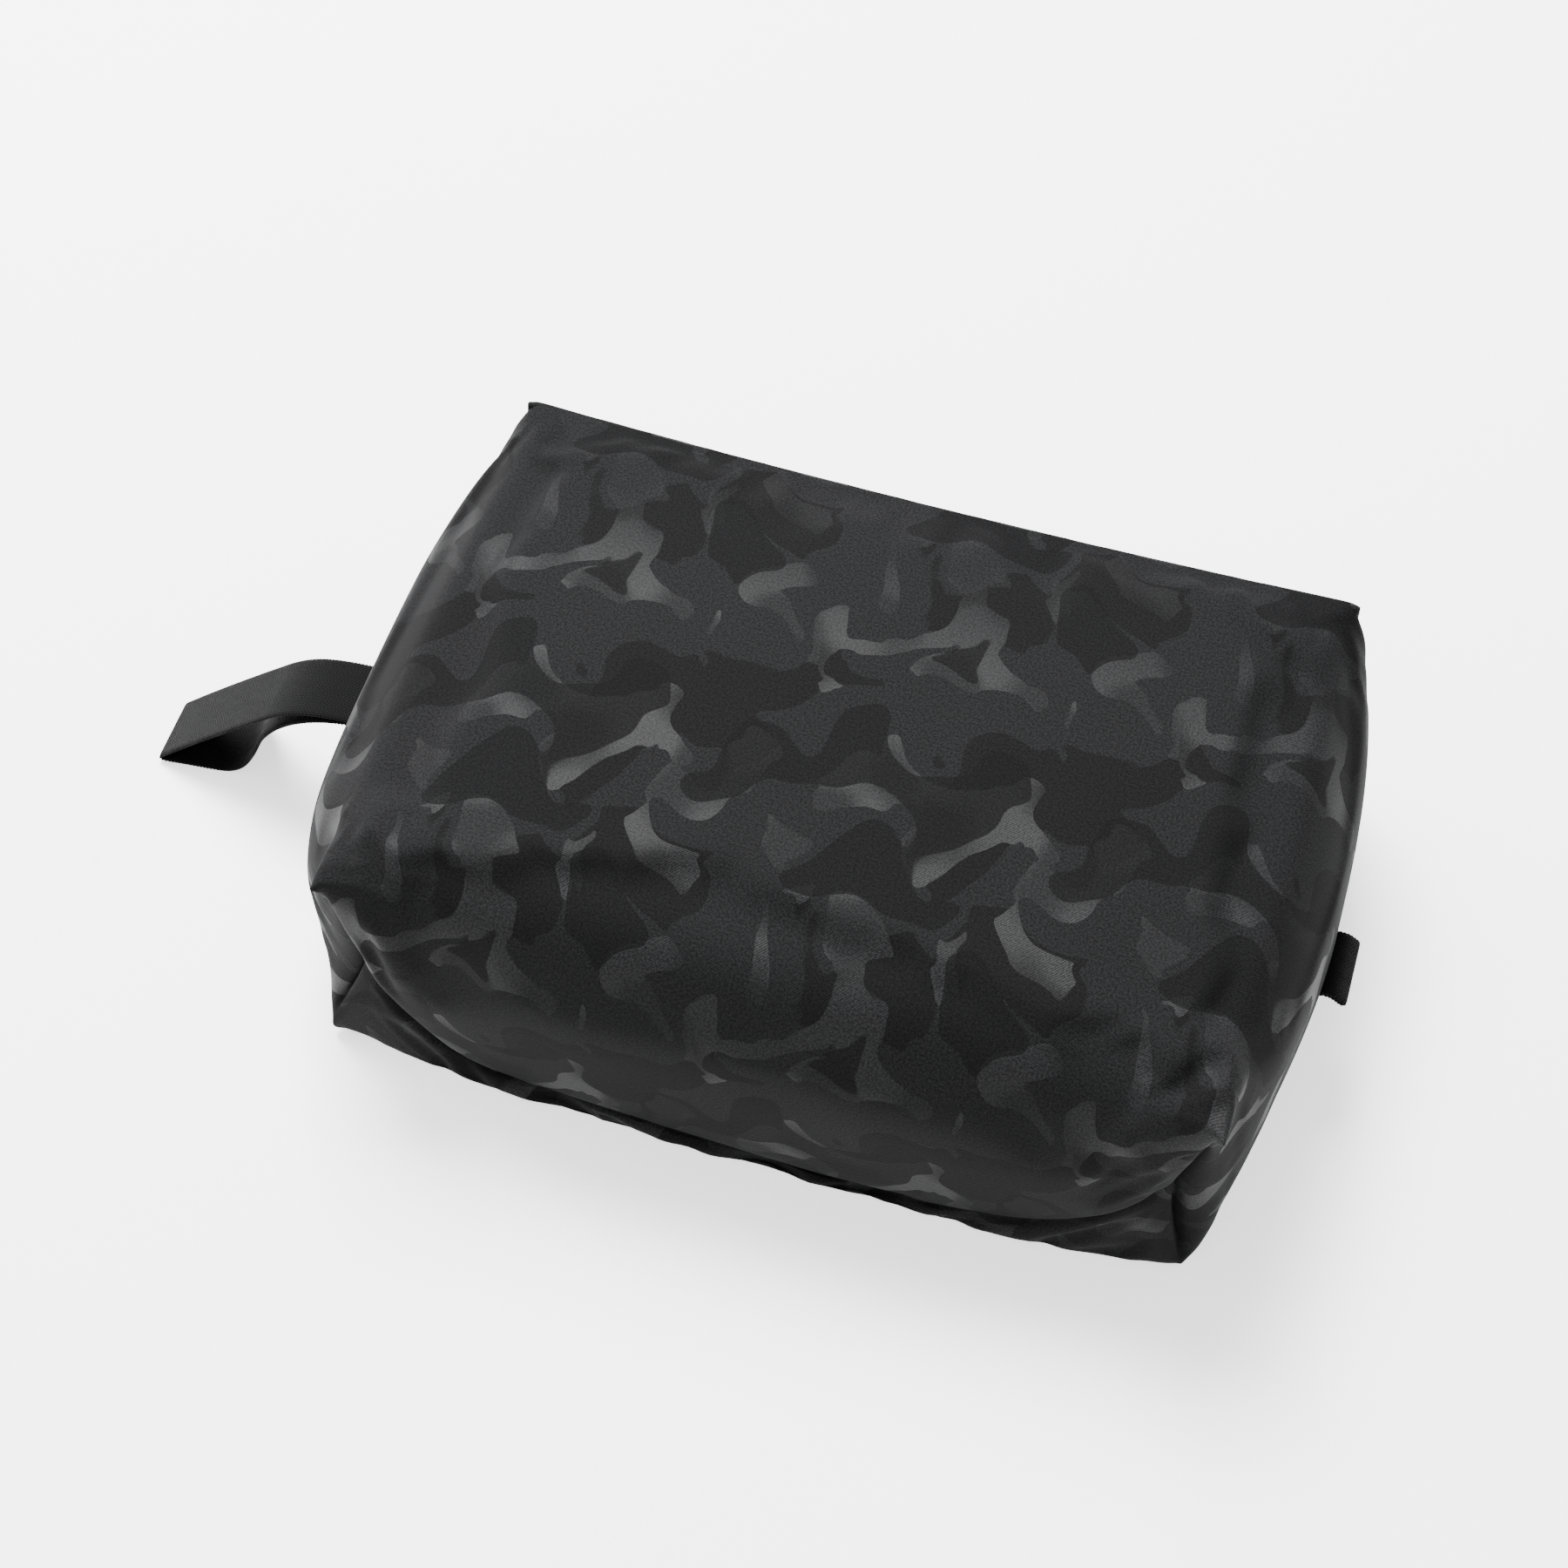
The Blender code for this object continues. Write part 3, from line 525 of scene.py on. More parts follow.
SIM_FRAMES = 16
END_ZONE = 14 * MM         # this near to its corners the cloth is held back
SIM_REACH = 2.6 * MM       # each point's movement is scaled back to this at most
END_DAMPING = 0.85         # share of the sideways movement that is taken away at the ends


def relax_cloth(thing):
    """Lets the outer cloth swell and buckle between its seams, and keeps a little of that."""
    rest = np.array([v.co for v in thing.data.vertices])
    hold = thing.vertex_groups.new(name="hold")
    for index, (x, y, z) in enumerate(rest):
        at_zip = y > FAR_Y - 6 * MM
        at_floor = z < 1.0 * MM
        at_corner = abs(x) > CORNER_X - END_ZONE and y < BASE_Y + 10 * MM
        hold.add([index], 1.0 if at_zip or at_floor or at_corner else 0.0, "REPLACE")
    cloth = thing.modifiers.new("cloth", "CLOTH")
    setting = cloth.settings
    setting.quality = 6
    setting.mass = 0.25
    setting.tension_stiffness = 18
    setting.compression_stiffness = 18
    setting.shear_stiffness = 6
    setting.bending_stiffness = 1.2
    setting.shrink_min = -0.03
    setting.use_pressure = True
    setting.uniform_pressure_force = 1.6
    setting.vertex_group_mass = "hold"
    setting.effector_weights.gravity = 0
    cloth.point_cache.frame_start = 1
    cloth.point_cache.frame_end = SIM_FRAMES
    scene = bpy.context.scene
    for frame_number in range(1, SIM_FRAMES + 1):
        scene.frame_set(frame_number)
    seen = thing.evaluated_get(bpy.context.evaluated_depsgraph_get())
    moved = np.array([v.co for v in seen.data.vertices]) - rest
    thing.modifiers.clear()
    scene.frame_set(1)
    far = np.linalg.norm(moved, axis=1)
    share = np.minimum(1.0, SIM_REACH / np.maximum(far, 1e-9))
    at_end = ease(CORNER_X - END_ZONE, CORNER_X, abs(rest[:, 0]))
    moved[:, 0] *= 1 - END_DAMPING * at_end
    placed = rest + moved * share[:, None]
    placed[:, 2] = np.maximum(placed[:, 2], 0.0)
    thing.data.vertices.foreach_set("co", placed.ravel())
    thing.data.update()
    before = f"{np.mean(far) / MM:.2f} mm on average and {np.max(far) / MM:.2f} mm at most"
    print(f"cloth moved {before}, before it was held to {SIM_REACH / MM:.1f} mm")


FOLD_REACH = 2.6 * MM      # how far the painted shade of a boxed corner's fold reaches from its seam
FOLD_MOUTH = 2.5 * MM      # the upper fold's painted shade lies this far below its seam


def paint_fold_shade(thing):
    """Writes the painted shade of the boxed corners' folds, from 0 to 1, at each point of the shell:
    strongest deep in a fold near its seam.
    """
    lines, shade_strengths, reaches = [], [], []
    for side in (-1, 1):
        share = np.linspace(0, 1, 60)
        for line, above in zip(corner_seam(side), (True, False)):
            sunk = corner_groove(side, share, above)
            # Above, the painted shade lies at the mouth of the fold, under the edge of the top cloth.
            offset = 0.3 * sunk - np.array([0, 0, FOLD_MOUTH]) if above else sunk
            lines.append(spread(line, share)[0] + offset)
            shade_strengths.append(ease(0.02, 0.22, share) if above else 1 - 0.7 * ease(0.55, 1.0, share))
            swell = 0.5 + 0.9 * np.sin(math.pi * share) if above else np.ones(len(share))
            reaches.append(FOLD_REACH * swell)
    seam, deep, reach = (np.concatenate(part) for part in (lines, shade_strengths, reaches))
    points = np.array([v.co for v in thing.data.vertices])
    # Painted shade of the folds at each point of the shell, from 0 to 1.
    folds = np.zeros(len(points))
    near = np.where((abs(points[:, 0]) > CORNER_X - 40 * MM) & (points[:, 1] < BASE_Y + 30 * MM))[0]
    for index in near:
        away = np.linalg.norm(seam - points[index], axis=1)
        folds[index] = np.max(deep * np.exp(-((away / reach) ** 3)))
    layer = thing.data.attributes.new("fold", "FLOAT", "POINT")
    layer.data.foreach_set("value", folds)


def make_shell():
    us, vs, up, low, front, base_up, base_low, back, lengths, arc, ends = shell_patches()
    run0 = lengths[:, 0]
    run1 = run0 + lengths[:, 1]
    run2 = run1 + lengths[:, 2]
    patches = []
    side_arc = us[None, :] * TIP_X
    patches.append((front, np.dstack([arc, vs[:, None] * run0[None, :]])))
    for points, shares, run, part in ((base_up, up, run0, 1), (base_low, low, run1, 2)):
        along = run[None, :] + shares[:, None] * lengths[:, part][None, :]
        patches.append((points, np.dstack([np.ones((len(shares), 1)) * side_arc, along])))
    patches.append((back, np.dstack([arc[::-1], run2[None, :] + vs[:, None] * lengths[:, 3][None, :]])))
    for i, side in ENDS:
        upper, lower, run_up, run_low = ends[side]
        v_front = (vs * run0[i])[:, None]
        v_back = (run2[i] + (1 - vs) * lengths[i, 3])[:, None]
        edge = abs(arc[:, i])[:, None]
        patches.append((upper, np.dstack([side * (edge + run_up), v_front + 0 * run_up])))
        patches.append((lower, np.dstack([side * (edge + run_low), v_back + 0 * run_low])))
    patches = [(soften(points), flat) for points, flat in patches]

    def face_up(work):
        bmesh.ops.recalc_face_normals(work, faces=work.faces)
        work.normal_update()
        top = max(work.faces, key=lambda f: f.calc_center_median().z)
        if top.normal.z < 0:
            bmesh.ops.reverse_faces(work, faces=work.faces)

    shell = new_object("bag_shell", edited(lattice_mesh("bag_shell", patches), face_up))
    relax_cloth(shell)
    shell = subdivide(shell, 1)
    # Painted shade for the boxed corners' folds, stored as the point attribute fold.
    paint_fold_shade(shell)
    return shell


# ---- Materials ----
class Graph:
    """A new material, with short names for building its node tree."""

    def __init__(self, name, roughness=0.6, metallic=0.0, sheen=0.0, sheen_roughness=0.5, specular=0.5):
        self.made = bpy.data.materials.new(name)
        self.made.use_nodes = True
        self.nodes = self.made.node_tree.nodes
        self.links = self.made.node_tree.links
        self.shader = self.nodes["Principled BSDF"]
        self.set("Roughness", roughness)
        self.set("Metallic", metallic)
        self.set("Sheen Weight", sheen)
        self.set("Sheen Roughness", sheen_roughness)
        self.set("Specular IOR Level", specular)

    def feed(self, socket, value):
        if isinstance(value, (int, float, tuple)):
            socket.default_value = value
        else:
            self.links.new(value, socket)

    def set(self, name, value):
        """Gives one of the shader's sockets a number, a colour or a link."""
        self.feed(self.shader.inputs[name], value)

    def math(self, operation, a, b=0.0, c=0.0):
        node = self.nodes.new("ShaderNodeMath")
        node.operation = operation
        for socket, value in zip(node.inputs, (a, b, c)):
            self.feed(socket, value)
        return node.outputs[0]

    def times(self, a, b):
        return self.math("MULTIPLY", a, b)

    def plus(self, a, b):
        return self.math("ADD", a, b)

    def minus(self, a, b):
        return self.math("SUBTRACT", a, b)

    def wave(self, along, length):
        return self.math("SINE", self.times(along, 2 * math.pi / length))

    def cloth(self):
        node = self.nodes.new("ShaderNodeUVMap")
        node.uv_map = "cloth"
        split = self.nodes.new("ShaderNodeSeparateXYZ")
        self.links.new(node.outputs[0], split.inputs[0])
        return split.outputs[0], split.outputs[1]

    def vector(self, x, y, z=0.0):
        node = self.nodes.new("ShaderNodeCombineXYZ")
        for socket, value in zip(node.inputs, (x, y, z)):
            self.feed(socket, value)
        return node.outputs[0]

    def place(self):
        return self.nodes.new("ShaderNodeTexCoord").outputs["Object"]

    def noise(self, vector, scale, detail=1.0, roughness=0.5, w=None):
        node = self.nodes.new("ShaderNodeTexNoise")
        node.noise_dimensions = "3D" if w is None else "4D"
        self.feed(node.inputs["Vector"], vector)
        if w is not None:
            self.feed(node.inputs["W"], w)
        node.inputs["Scale"].default_value = scale
        node.inputs["Detail"].default_value = detail
        node.inputs["Roughness"].default_value = roughness
        return node.outputs["Fac"]

    def step(self, value, low, high, out_low=0.0, out_high=1.0):
        node = self.nodes.new("ShaderNodeMapRange")
        node.interpolation_type = "SMOOTHSTEP"
        self.feed(node.inputs["Value"], value)
        names = ("From Min", "From Max", "To Min", "To Max")
        for name, number in zip(names, (low, high, out_low, out_high)):
            self.feed(node.inputs[name], number)
        return node.outputs[0]

    def mix(self, share, a, b):
        node = self.nodes.new("ShaderNodeMix")
        node.data_type = "RGBA"
        self.feed(node.inputs["Factor"], share)
        self.feed(node.inputs[6], a)
        self.feed(node.inputs[7], b)
        return node.outputs[2]

    def herringbone(self, across, along, width, pitch):
        """Ribs that slant one way and then the other across each width."""
        share = self.math("FRACT", self.times(across, 1 / width))
        side = self.math("ABSOLUTE", self.minus(share, 0.5))
        return self.wave(self.math("MULTIPLY_ADD", side, width, along), pitch)

    def bump(self, height, distance, strength=1.0, normal=None):
        node = self.nodes.new("ShaderNodeBump")
        node.inputs["Strength"].default_value = strength
        node.inputs["Distance"].default_value = distance
        self.links.new(height, node.inputs["Height"])
        if normal is not None:
            self.links.new(normal, node.inputs["Normal"])
        return node.outputs[0]


REPEAT_X = 105 * MM        # the woven pattern repeats across and along the cloth
REPEAT_Y = 128 * MM


def ring_noise(g, u, v, scale, seed, detail=0.6):
    """Noise on the cloth that repeats with the woven pattern."""
    turn_u = g.times(u, 2 * math.pi / REPEAT_X)
    turn_v = g.times(v, 2 * math.pi / REPEAT_Y)
    ru, rv = REPEAT_X / (2 * math.pi), REPEAT_Y / (2 * math.pi)
    x = g.math("MULTIPLY_ADD", g.math("COSINE", turn_u), ru, seed)
    y = g.times(g.math("SINE", turn_u), ru)
    z = g.times(g.math("COSINE", turn_v), rv)
    w = g.math("MULTIPLY_ADD", g.math("SINE", turn_v), rv, seed)
    return g.noise(g.vector(x, y, z), scale, detail, 0.45, w)


def pushed(g, u, v, scale, seeds, far):
    """Cloth coordinates pushed about by repeating noise, so that patches get curling outlines."""
    moves = [g.times(g.minus(ring_noise(g, u, v, scale, seed), 0.5), far) for seed in seeds]
    return g.plus(u, moves[0]), g.plus(v, moves[1])


TWILL = 0.9 * MM           # spacing of the twill lines
FOLD_SHADE = 0.9           # how much of its tone the cloth loses to painted shade deep in a corner's fold
GROUND = (0.0032, 0.0032, 0.0034, 1)
MID_TONE = (0.0057, 0.0058, 0.0061, 1)
DARK_TONE = (0.0022, 0.0022, 0.0024, 1)
# Bright patches: the pattern's lighter yarn, with painted sheen added to its colour.
PATCH_AND_SHEEN_LOW = (0.0068, 0.0069, 0.0072, 1)
PATCH_AND_SHEEN_HIGH = (0.0118, 0.0120, 0.0125, 1)


def camo_cloth():
    g = Graph("camo_jacquard", sheen=0.01, sheen_roughness=0.4, specular=0.08)
    g.set("Sheen Tint", (0.9, 0.92, 1.0, 1))
    u, v = g.cloth()
    u2, v2 = pushed(g, u, v, 40, (0.31, 0.73), 38 * MM)
    u3, v3 = pushed(g, u2, v2, 95, (1.31, 1.87), 18 * MM)
    # Narrow steps in three fields of noise give patches with sharp woven edges.
    mid = g.step(ring_noise(g, u3, v3, 33, 2.1, 0.3), 0.500, 0.506)
    bright = g.step(ring_noise(g, u3, v3, 53, 3.7, 0.2), 0.572, 0.577)
    dark = g.step(ring_noise(g, u2, v2, 34, 5.2, 0.3), 0.560, 0.566)
    # The bright patches fade in places, and are dimmed towards the edge beside the zip as painted shade.
    fade = g.step(ring_noise(g, u, v, 62, 7.3, 0.2), 0.38, 0.60, 0.30, 1.0)
    # Painted shade: bright patches dimmed within about 66 mm of the zip edge.
    fade = g.times(fade, g.step(g.math("ABSOLUTE", v), 18 * MM, 66 * MM, 0.25, 1.0))
    bright = g.times(g.times(bright, fade), g.minus(1.0, g.times(dark, 0.85)))
    # Twill lines run across the patches, and threads vary a little in tone.
    weave = g.wave(g.plus(u, v), TWILL)
    thread = g.noise(g.vector(u, v), 1500, 2.0, 0.6)
    ground = g.mix(g.times(dark, 0.75), g.mix(mid, GROUND, MID_TONE), DARK_TONE)
    # The patch colour is partly the yarn's own tone and partly painted sheen.
    patch = g.mix(g.math("MULTIPLY_ADD", weave, 0.22, 0.5), PATCH_AND_SHEEN_LOW, PATCH_AND_SHEEN_HIGH)
    colour = g.mix(bright, ground, patch)
    # Painted shade: deep in the boxed corners' folds the cloth is darkened, as if the light were swallowed
    # between their two sides of cloth.
    fold = g.nodes.new("ShaderNodeAttribute")
    fold.attribute_name = "fold"
    painted_fold_shade = fold.outputs["Fac"]
    # The threads' own tone varies a little; the painted fold shade darkens it further.
    tone = g.times(g.step(thread, 0.3, 0.7, 0.45, 1.65), g.minus(1.0, g.times(painted_fold_shade, FOLD_SHADE)))
    scaled = g.nodes.new("ShaderNodeVectorMath")
    scaled.operation = "SCALE"
    g.feed(scaled.inputs[0], colour)
    g.feed(scaled.inputs["Scale"], tone)
    g.set("Base Color", scaled.outputs[0])
    g.set("Roughness", g.minus(g.math("MULTIPLY_ADD", painted_fold_shade, 0.1, 0.88), g.times(bright, 0.34)))
    # Patches stand a little proud, with fine relief at their edges.
    relief = g.minus(g.plus(g.times(mid, 0.35), g.times(bright, 0.5)), g.times(dark, 0.3))
    normal = g.bump(relief, 0.12 * MM, 0.8)
    g.set("Normal", g.bump(g.math("MULTIPLY_ADD", weave, 0.18, thread), 0.14 * MM, 0.6, normal))
    return g.made


def webbing_cloth():
    g = Graph("webbing_black", 0.73, sheen=0.005, sheen_roughness=0.4, specular=0.06)
    u, v = g.cloth()
    rib = g.herringbone(u, v, 5.25 * MM, 1.15 * MM)
    rows = g.wave(u, 0.75 * MM)
    thread = g.noise(g.vector(u, v), 1800, 2.0, 0.6)
    height = g.plus(g.times(rib, 0.5), g.times(rows, 0.25))
    # Painted shade and highlight: the ribs are darker in their hollows and lighter on their crests.
    colour = g.mix(g.step(height, -0.6, 0.7), (0.0014, 0.0014, 0.0015, 1), (0.0042, 0.0043, 0.0045, 1))
    g.set("Base Color", g.mix(g.times(thread, 0.35), colour, (0.0052, 0.0052, 0.0055, 1)))
    g.set("Normal", g.bump(thread, 0.1 * MM, 0.4, g.bump(height, 0.22 * MM, 0.9)))
    return g.made


def lining_cloth():
    g = Graph("lining_grey", 0.55, sheen=0.15, sheen_roughness=0.4, specular=0.4)
    u, v = g.cloth()
    grid = g.times(g.wave(u, 1.0 * MM), g.wave(v, 1.0 * MM))
    thread = g.noise(g.vector(u, v), 900, 2.0, 0.6)
    g.set("Base Color", g.mix(g.step(thread, 0.3, 0.7), (0.055, 0.057, 0.062, 1), (0.085, 0.088, 0.094, 1)))
    g.set("Normal", g.bump(grid, 0.06 * MM, 0.5))
    return g.made


def tape_cloth():
    g = Graph("zip_tape_black", 0.7, sheen=0.02, specular=0.15)
    split = g.nodes.new("ShaderNodeSeparateXYZ")
    g.feed(split.inputs[0], g.place())
    x, _, z = split.outputs
    rib = g.herringbone(z, x, 3.2 * MM, 0.9 * MM)
    thread = g.noise(g.place(), 1600, 2.0, 0.6)
    # Painted shade and highlight: the ribs are darker in their hollows and lighter on their crests.
    colour = g.mix(g.step(rib, -0.7, 0.8), (0.004, 0.004, 0.0043, 1), (0.012, 0.012, 0.0126, 1))
    g.set("Base Color", g.mix(g.times(thread, 0.4), colour, (0.009, 0.009, 0.0095, 1)))
    g.set("Normal", g.bump(rib, 0.12 * MM, 0.8))
    return g.made


def coil_plastic():
    g = Graph("coil_black", 0.32)
    wear = g.noise(g.place(), 420, 3.0, 0.6)
    g.set("Base Color", g.mix(g.step(wear, 0.35, 0.75), (0.012, 0.012, 0.013, 1), (0.026, 0.026, 0.028, 1)))
    g.set("Roughness", g.step(wear, 0.3, 0.8, 0.26, 0.46))
    g.set("Normal", g.bump(wear, 0.05 * MM, 0.3))
    return g.made


def zip_metal():
    g = Graph("zip_metal_black", 0.35, metallic=1.0)
    stretch = g.nodes.new("ShaderNodeMapping")
    stretch.inputs["Scale"].default_value = (0.15, 1.0, 1.0)
    g.feed(stretch.inputs["Vector"], g.place())
    grain = g.noise(stretch.outputs[0], 2600, 3.0, 0.65)
    wear = g.noise(g.place(), 240, 4.0, 0.6)
    g.set("Base Color", g.mix(g.step(wear, 0.45, 0.8), (0.045, 0.046, 0.050, 1), (0.16, 0.16, 0.17, 1)))
    g.set("Roughness", g.step(grain, 0.25, 0.8, 0.24, 0.48))
    g.set("Normal", g.bump(grain, 0.03 * MM, 0.35))
    return g.made


def thread_cloth():
    g = Graph("stitch_thread", 0.5, sheen=0.02, specular=0.2)
    twist = g.noise(g.place(), 2600, 2.0, 0.6)
    colour = g.mix(g.step(twist, 0.3, 0.7), (0.006, 0.006, 0.0063, 1), (0.015, 0.015, 0.0157, 1))
    g.set("Base Color", colour)
    g.set("Normal", g.bump(twist, 0.08 * MM, 0.6))
    return g.made


CAMO = camo_cloth()
WEBBING = webbing_cloth()
LINING = lining_cloth()
TAPE = tape_cloth()
COIL = coil_plastic()
METAL = zip_metal()
THREAD = thread_cloth()


def dress(thing, finish):
    thing.data.materials.clear()
    thing.data.materials.append(finish)
    return thing


# ---- Webbing ----
WEBBING_THICK = 1.2 * MM
WEBBING_WIDE = 21.0 * MM
SERRATION = 0.16 * MM
SERRATION_PITCH = 1.15 * MM
LOOP_REACH = 69.0 * MM
LOOP_DRIFT = -7.0 * MM
LOOP_FLOOR = 0.7 * MM


def ribbon(name, line, drift, step=0.55 * MM):
    """Webbing along a centreline of (x, z) points; drift gives each point's middle in Y."""
    count = int(np.linalg.norm(np.diff(line, axis=0), axis=1).sum() / step)
    points, length = spread(np.column_stack([line, drift]), np.linspace(0, 1, count + 1))
    tangent = np.gradient(points[:, :2], axis=0)
    tangent /= np.linalg.norm(tangent, axis=1)[:, None]
    normal = np.column_stack([-tangent[:, 1], tangent[:, 0]])
    across = np.linspace(-1, 1, 15)
    across = 0.6 * across + 0.4 * np.sin(across * math.pi / 2)
    ring = [(a, 1) for a in across] + [(1.018, 0)] + [(a, -1) for a in across[::-1]] + [(-1.018, 0)]
    verts, cloth = [], []
    for n, (x, z, y) in enumerate(points):
        run = n * length / count
        for a, face in ring:
            edge = abs(a) > 0.985
            nib = SERRATION * math.sin(2 * math.pi * run / SERRATION_PITCH) if edge else 0
            half = WEBBING_WIDE / 2 + nib
            thick = WEBBING_THICK / 2 * (1 - 0.28 * max(0, abs(a) - 0.9) / 0.1) * face
            verts.append((x + normal[n, 0] * thick, y + a * half, z + normal[n, 1] * thick))
            cloth.append((a * WEBBING_WIDE / 2, run))
    faces = swept_faces(len(points), len(ring))
    return new_object(name, turned_out(smooth_mesh(name, verts, faces, cloth)))


def loop_line():
    """The hanging loop's centreline, out along the top layer and back along the lower one."""
    curves = (
        ((0, 1), (0.20, 1.03), (0.29, 0.99), (0.40, 0.86)),
        ((0.40, 0.86), (0.57, 0.64), (0.80, 0.33), (0.985, 0.055)),
        ((0.985, 0.055), (1.003, 0.03), (1, 0), (0.97, 0)),
        ((0.97, 0), (0.88, 0), (0.79, 0), (0.725, 0)),
        ((0.725, 0), (0.60, 0), (0.545, 0.22), (0.49, 0.44)),
        ((0.49, 0.44), (0.43, 0.68), (0.28, 0.965), (0, 0.965)),
    )
    line = join_lines(*(bezier(*c) for c in curves))
    inset = np.array([[-0.055, 1.0]])
    line = join_lines(np.concatenate([inset, line[:1]]), line)
    line = join_lines(line, np.array([line[-1], (-0.055, 0.965)]))
    x = LOOP_AXIS.x - line[:, 0] * LOOP_REACH
    z = LOOP_FLOOR + line[:, 1] * (LOOP_AXIS.z + 0.75 * MM - LOOP_FLOOR)
    drift = LOOP_AXIS.y + LOOP_DRIFT * np.clip(line[:, 0], 0, 1)
    return np.column_stack([x, z]), drift


def make_loop():
    line, drift = loop_line()
    loop = ribbon("hang_loop_webbing", line, drift)
    dress(loop, WEBBING)
    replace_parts(loop, "hang_loop")
    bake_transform(loop)


def make_tab():
    """The short folded tab, its two layers side by side and its fold outwards."""
    droop = math.radians(40)
    out = np.array([math.cos(droop), -math.sin(droop)])
    side = np.array([math.sin(droop), math.cos(droop)])
    root = np.array([TAB_AXIS.x, TAB_AXIS.z])
    reach, half = 5.6 * MM, 0.72 * MM
    inside = root - np.array([3.0 * MM, 0])
    tip = root + out * reach * 0.8
    raised = side * half
    upper = bezier(inside, root + raised, root + out * 1.0 * MM + raised, tip + raised)
    angles = np.linspace(math.pi / 2, -math.pi / 2, 9)[:, None]
    turn = tip + half * (np.cos(angles) * out + np.sin(angles) * side)
    lower = upper[::-1] - side * 2 * half
    lower[-1] = inside - np.array([0, 1.5 * MM])
    line = join_lines(upper, turn, lower)
    drift = np.full(len(line), TAB_AXIS.y)
    tab = ribbon("grab_tab_webbing", line, drift, step=0.4 * MM)
    dress(tab, WEBBING)
    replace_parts(tab, "grab_tab")
    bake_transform(tab)


# ---- Zip face: cloth, tape, coil and stitches ----
WINDOW_HALF = 5.5 * MM     # from the middle of the zip to the cloth's folded edge
SLOT_END = CORNER_X - 11.0 * MM
FACE_Y = ZIP_Y - 0.1 * MM
FACE_THICK = 1.7 * MM
LIP_END = LIP_HALF + 0.1 * MM
TAPE_OUT = ZIP_Y - 2.3 * MM
TAPE_THICK = 0.6 * MM
CHAIN_HALF = 3.0 * MM
SLIDER_SLOT = 0.85 * MM
COIL_PITCH = 1.5 * MM
COIL_WIRE = 0.30 * MM      # radius of the coil's wire
COIL_LIFT = 1.15 * MM      # the coil's middle above the tape
COIL_TALL = 0.62 * MM      # and half its height
TOP_STITCH = 2.2 * MM      # top-stitching, back from the window's folded edge
COIL_END = SLOT_END - 3.2 * MM
ROLL_RADIUS = 1.2 * MM


def round_far_corner(x, y):
    """A point of the zip end of the bag, with its square corner rounded as seen from the front."""
    a = (abs(x) - (CORNER_X - FAR_CORNER)) / FAR_CORNER
    b = (y - (FAR_Y + 1 * MM - FAR_CORNER)) / FAR_CORNER
    if a <= 0 or b <= 0:
        return x, y
    a, b = disc_from_square(a, b)
    round_x = CORNER_X - FAR_CORNER + FAR_CORNER * a
    return math.copysign(round_x, x), FAR_Y + 1 * MM - FAR_CORNER + FAR_CORNER * b


def face_depth(x, z):
    """Outer Y of the zip face's soft cloth."""
    rim = min(abs(z - UPPER_AXIS.z), abs(z - LOWER_AXIS.z))
    hem = abs(abs(z - MID) - WINDOW_HALF)
    fill = 0.9 * MM * math.sin(math.pi * min(1.0, rim / (UPPER_AXIS.z - MID - WINDOW_HALF)))
    tuck = 0.5 * MM * math.exp(-((rim / (2.2 * MM)) ** 2))
    stitched = 0.28 * MM * math.exp(-(((hem - TOP_STITCH) / (0.9 * MM)) ** 2))
    pucker = 0.16 * MM * rough((x, 0, z * 0.15), 6 * MM, 4.2) * math.exp(-((hem / (7 * MM)) ** 2))
    wave = 0.4 * MM * rough((x, 0, z), 26 * MM, 8.8)
    wave *= min(1.0, rim / (8 * MM)) * min(1.0, hem / (6 * MM))
    return FACE_Y + fill - tuck - stitched + pucker + wave


def face_panel(name, xs, zs, keep=lambda x, z: True):
    """Cloth of the zip face over a lattice, its back and its folded edges included."""
    verts, cloth = [], []
    for z in zs:
        for x in xs:
            px, py = round_far_corner(x, face_depth(x, z))
            drop_y, drop_z = edge_sag(px, z)
            verts.append((px, py + drop_y, z + drop_z))
            cloth.append((x, (z - MID) - 0.13))
    faces = []
    wide = len(xs)
    for r in range(len(zs) - 1):
        for c in range(wide - 1):
            if keep((xs[c] + xs[c + 1]) / 2, (zs[r] + zs[r + 1]) / 2):
                a = r * wide + c
                faces.append((a, a + wide, a + wide + 1, a + 1))

    def drop_loose(work):
        bmesh.ops.delete(work, geom=[v for v in work.verts if not v.link_faces], context="VERTS")

    panel = new_object(name, edited(smooth_mesh(name, verts, faces, cloth), drop_loose))
    solid = panel.modifiers.new("thickness", "SOLIDIFY")
    solid.thickness = FACE_THICK
    solid.offset = -1
    return subdivide(panel, 1)


def lift(thing):
    """Bakes a piece's transform into its mesh."""
    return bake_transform(thing)


def lip_rows():
    """Heights of the upper lip's rows of points, from the window's edge up to the rolled seam."""
    return np.concatenate([
        MID + WINDOW_HALF + np.array([0, 0.7, 1.6, 2.6, 4.0]) * MM,
        np.linspace(MID + WINDOW_HALF + 6.5 * MM, UPPER_AXIS.z - 2.4 * MM, 10),
        UPPER_AXIS.z - np.array([1.2, 0.4]) * MM,
    ])


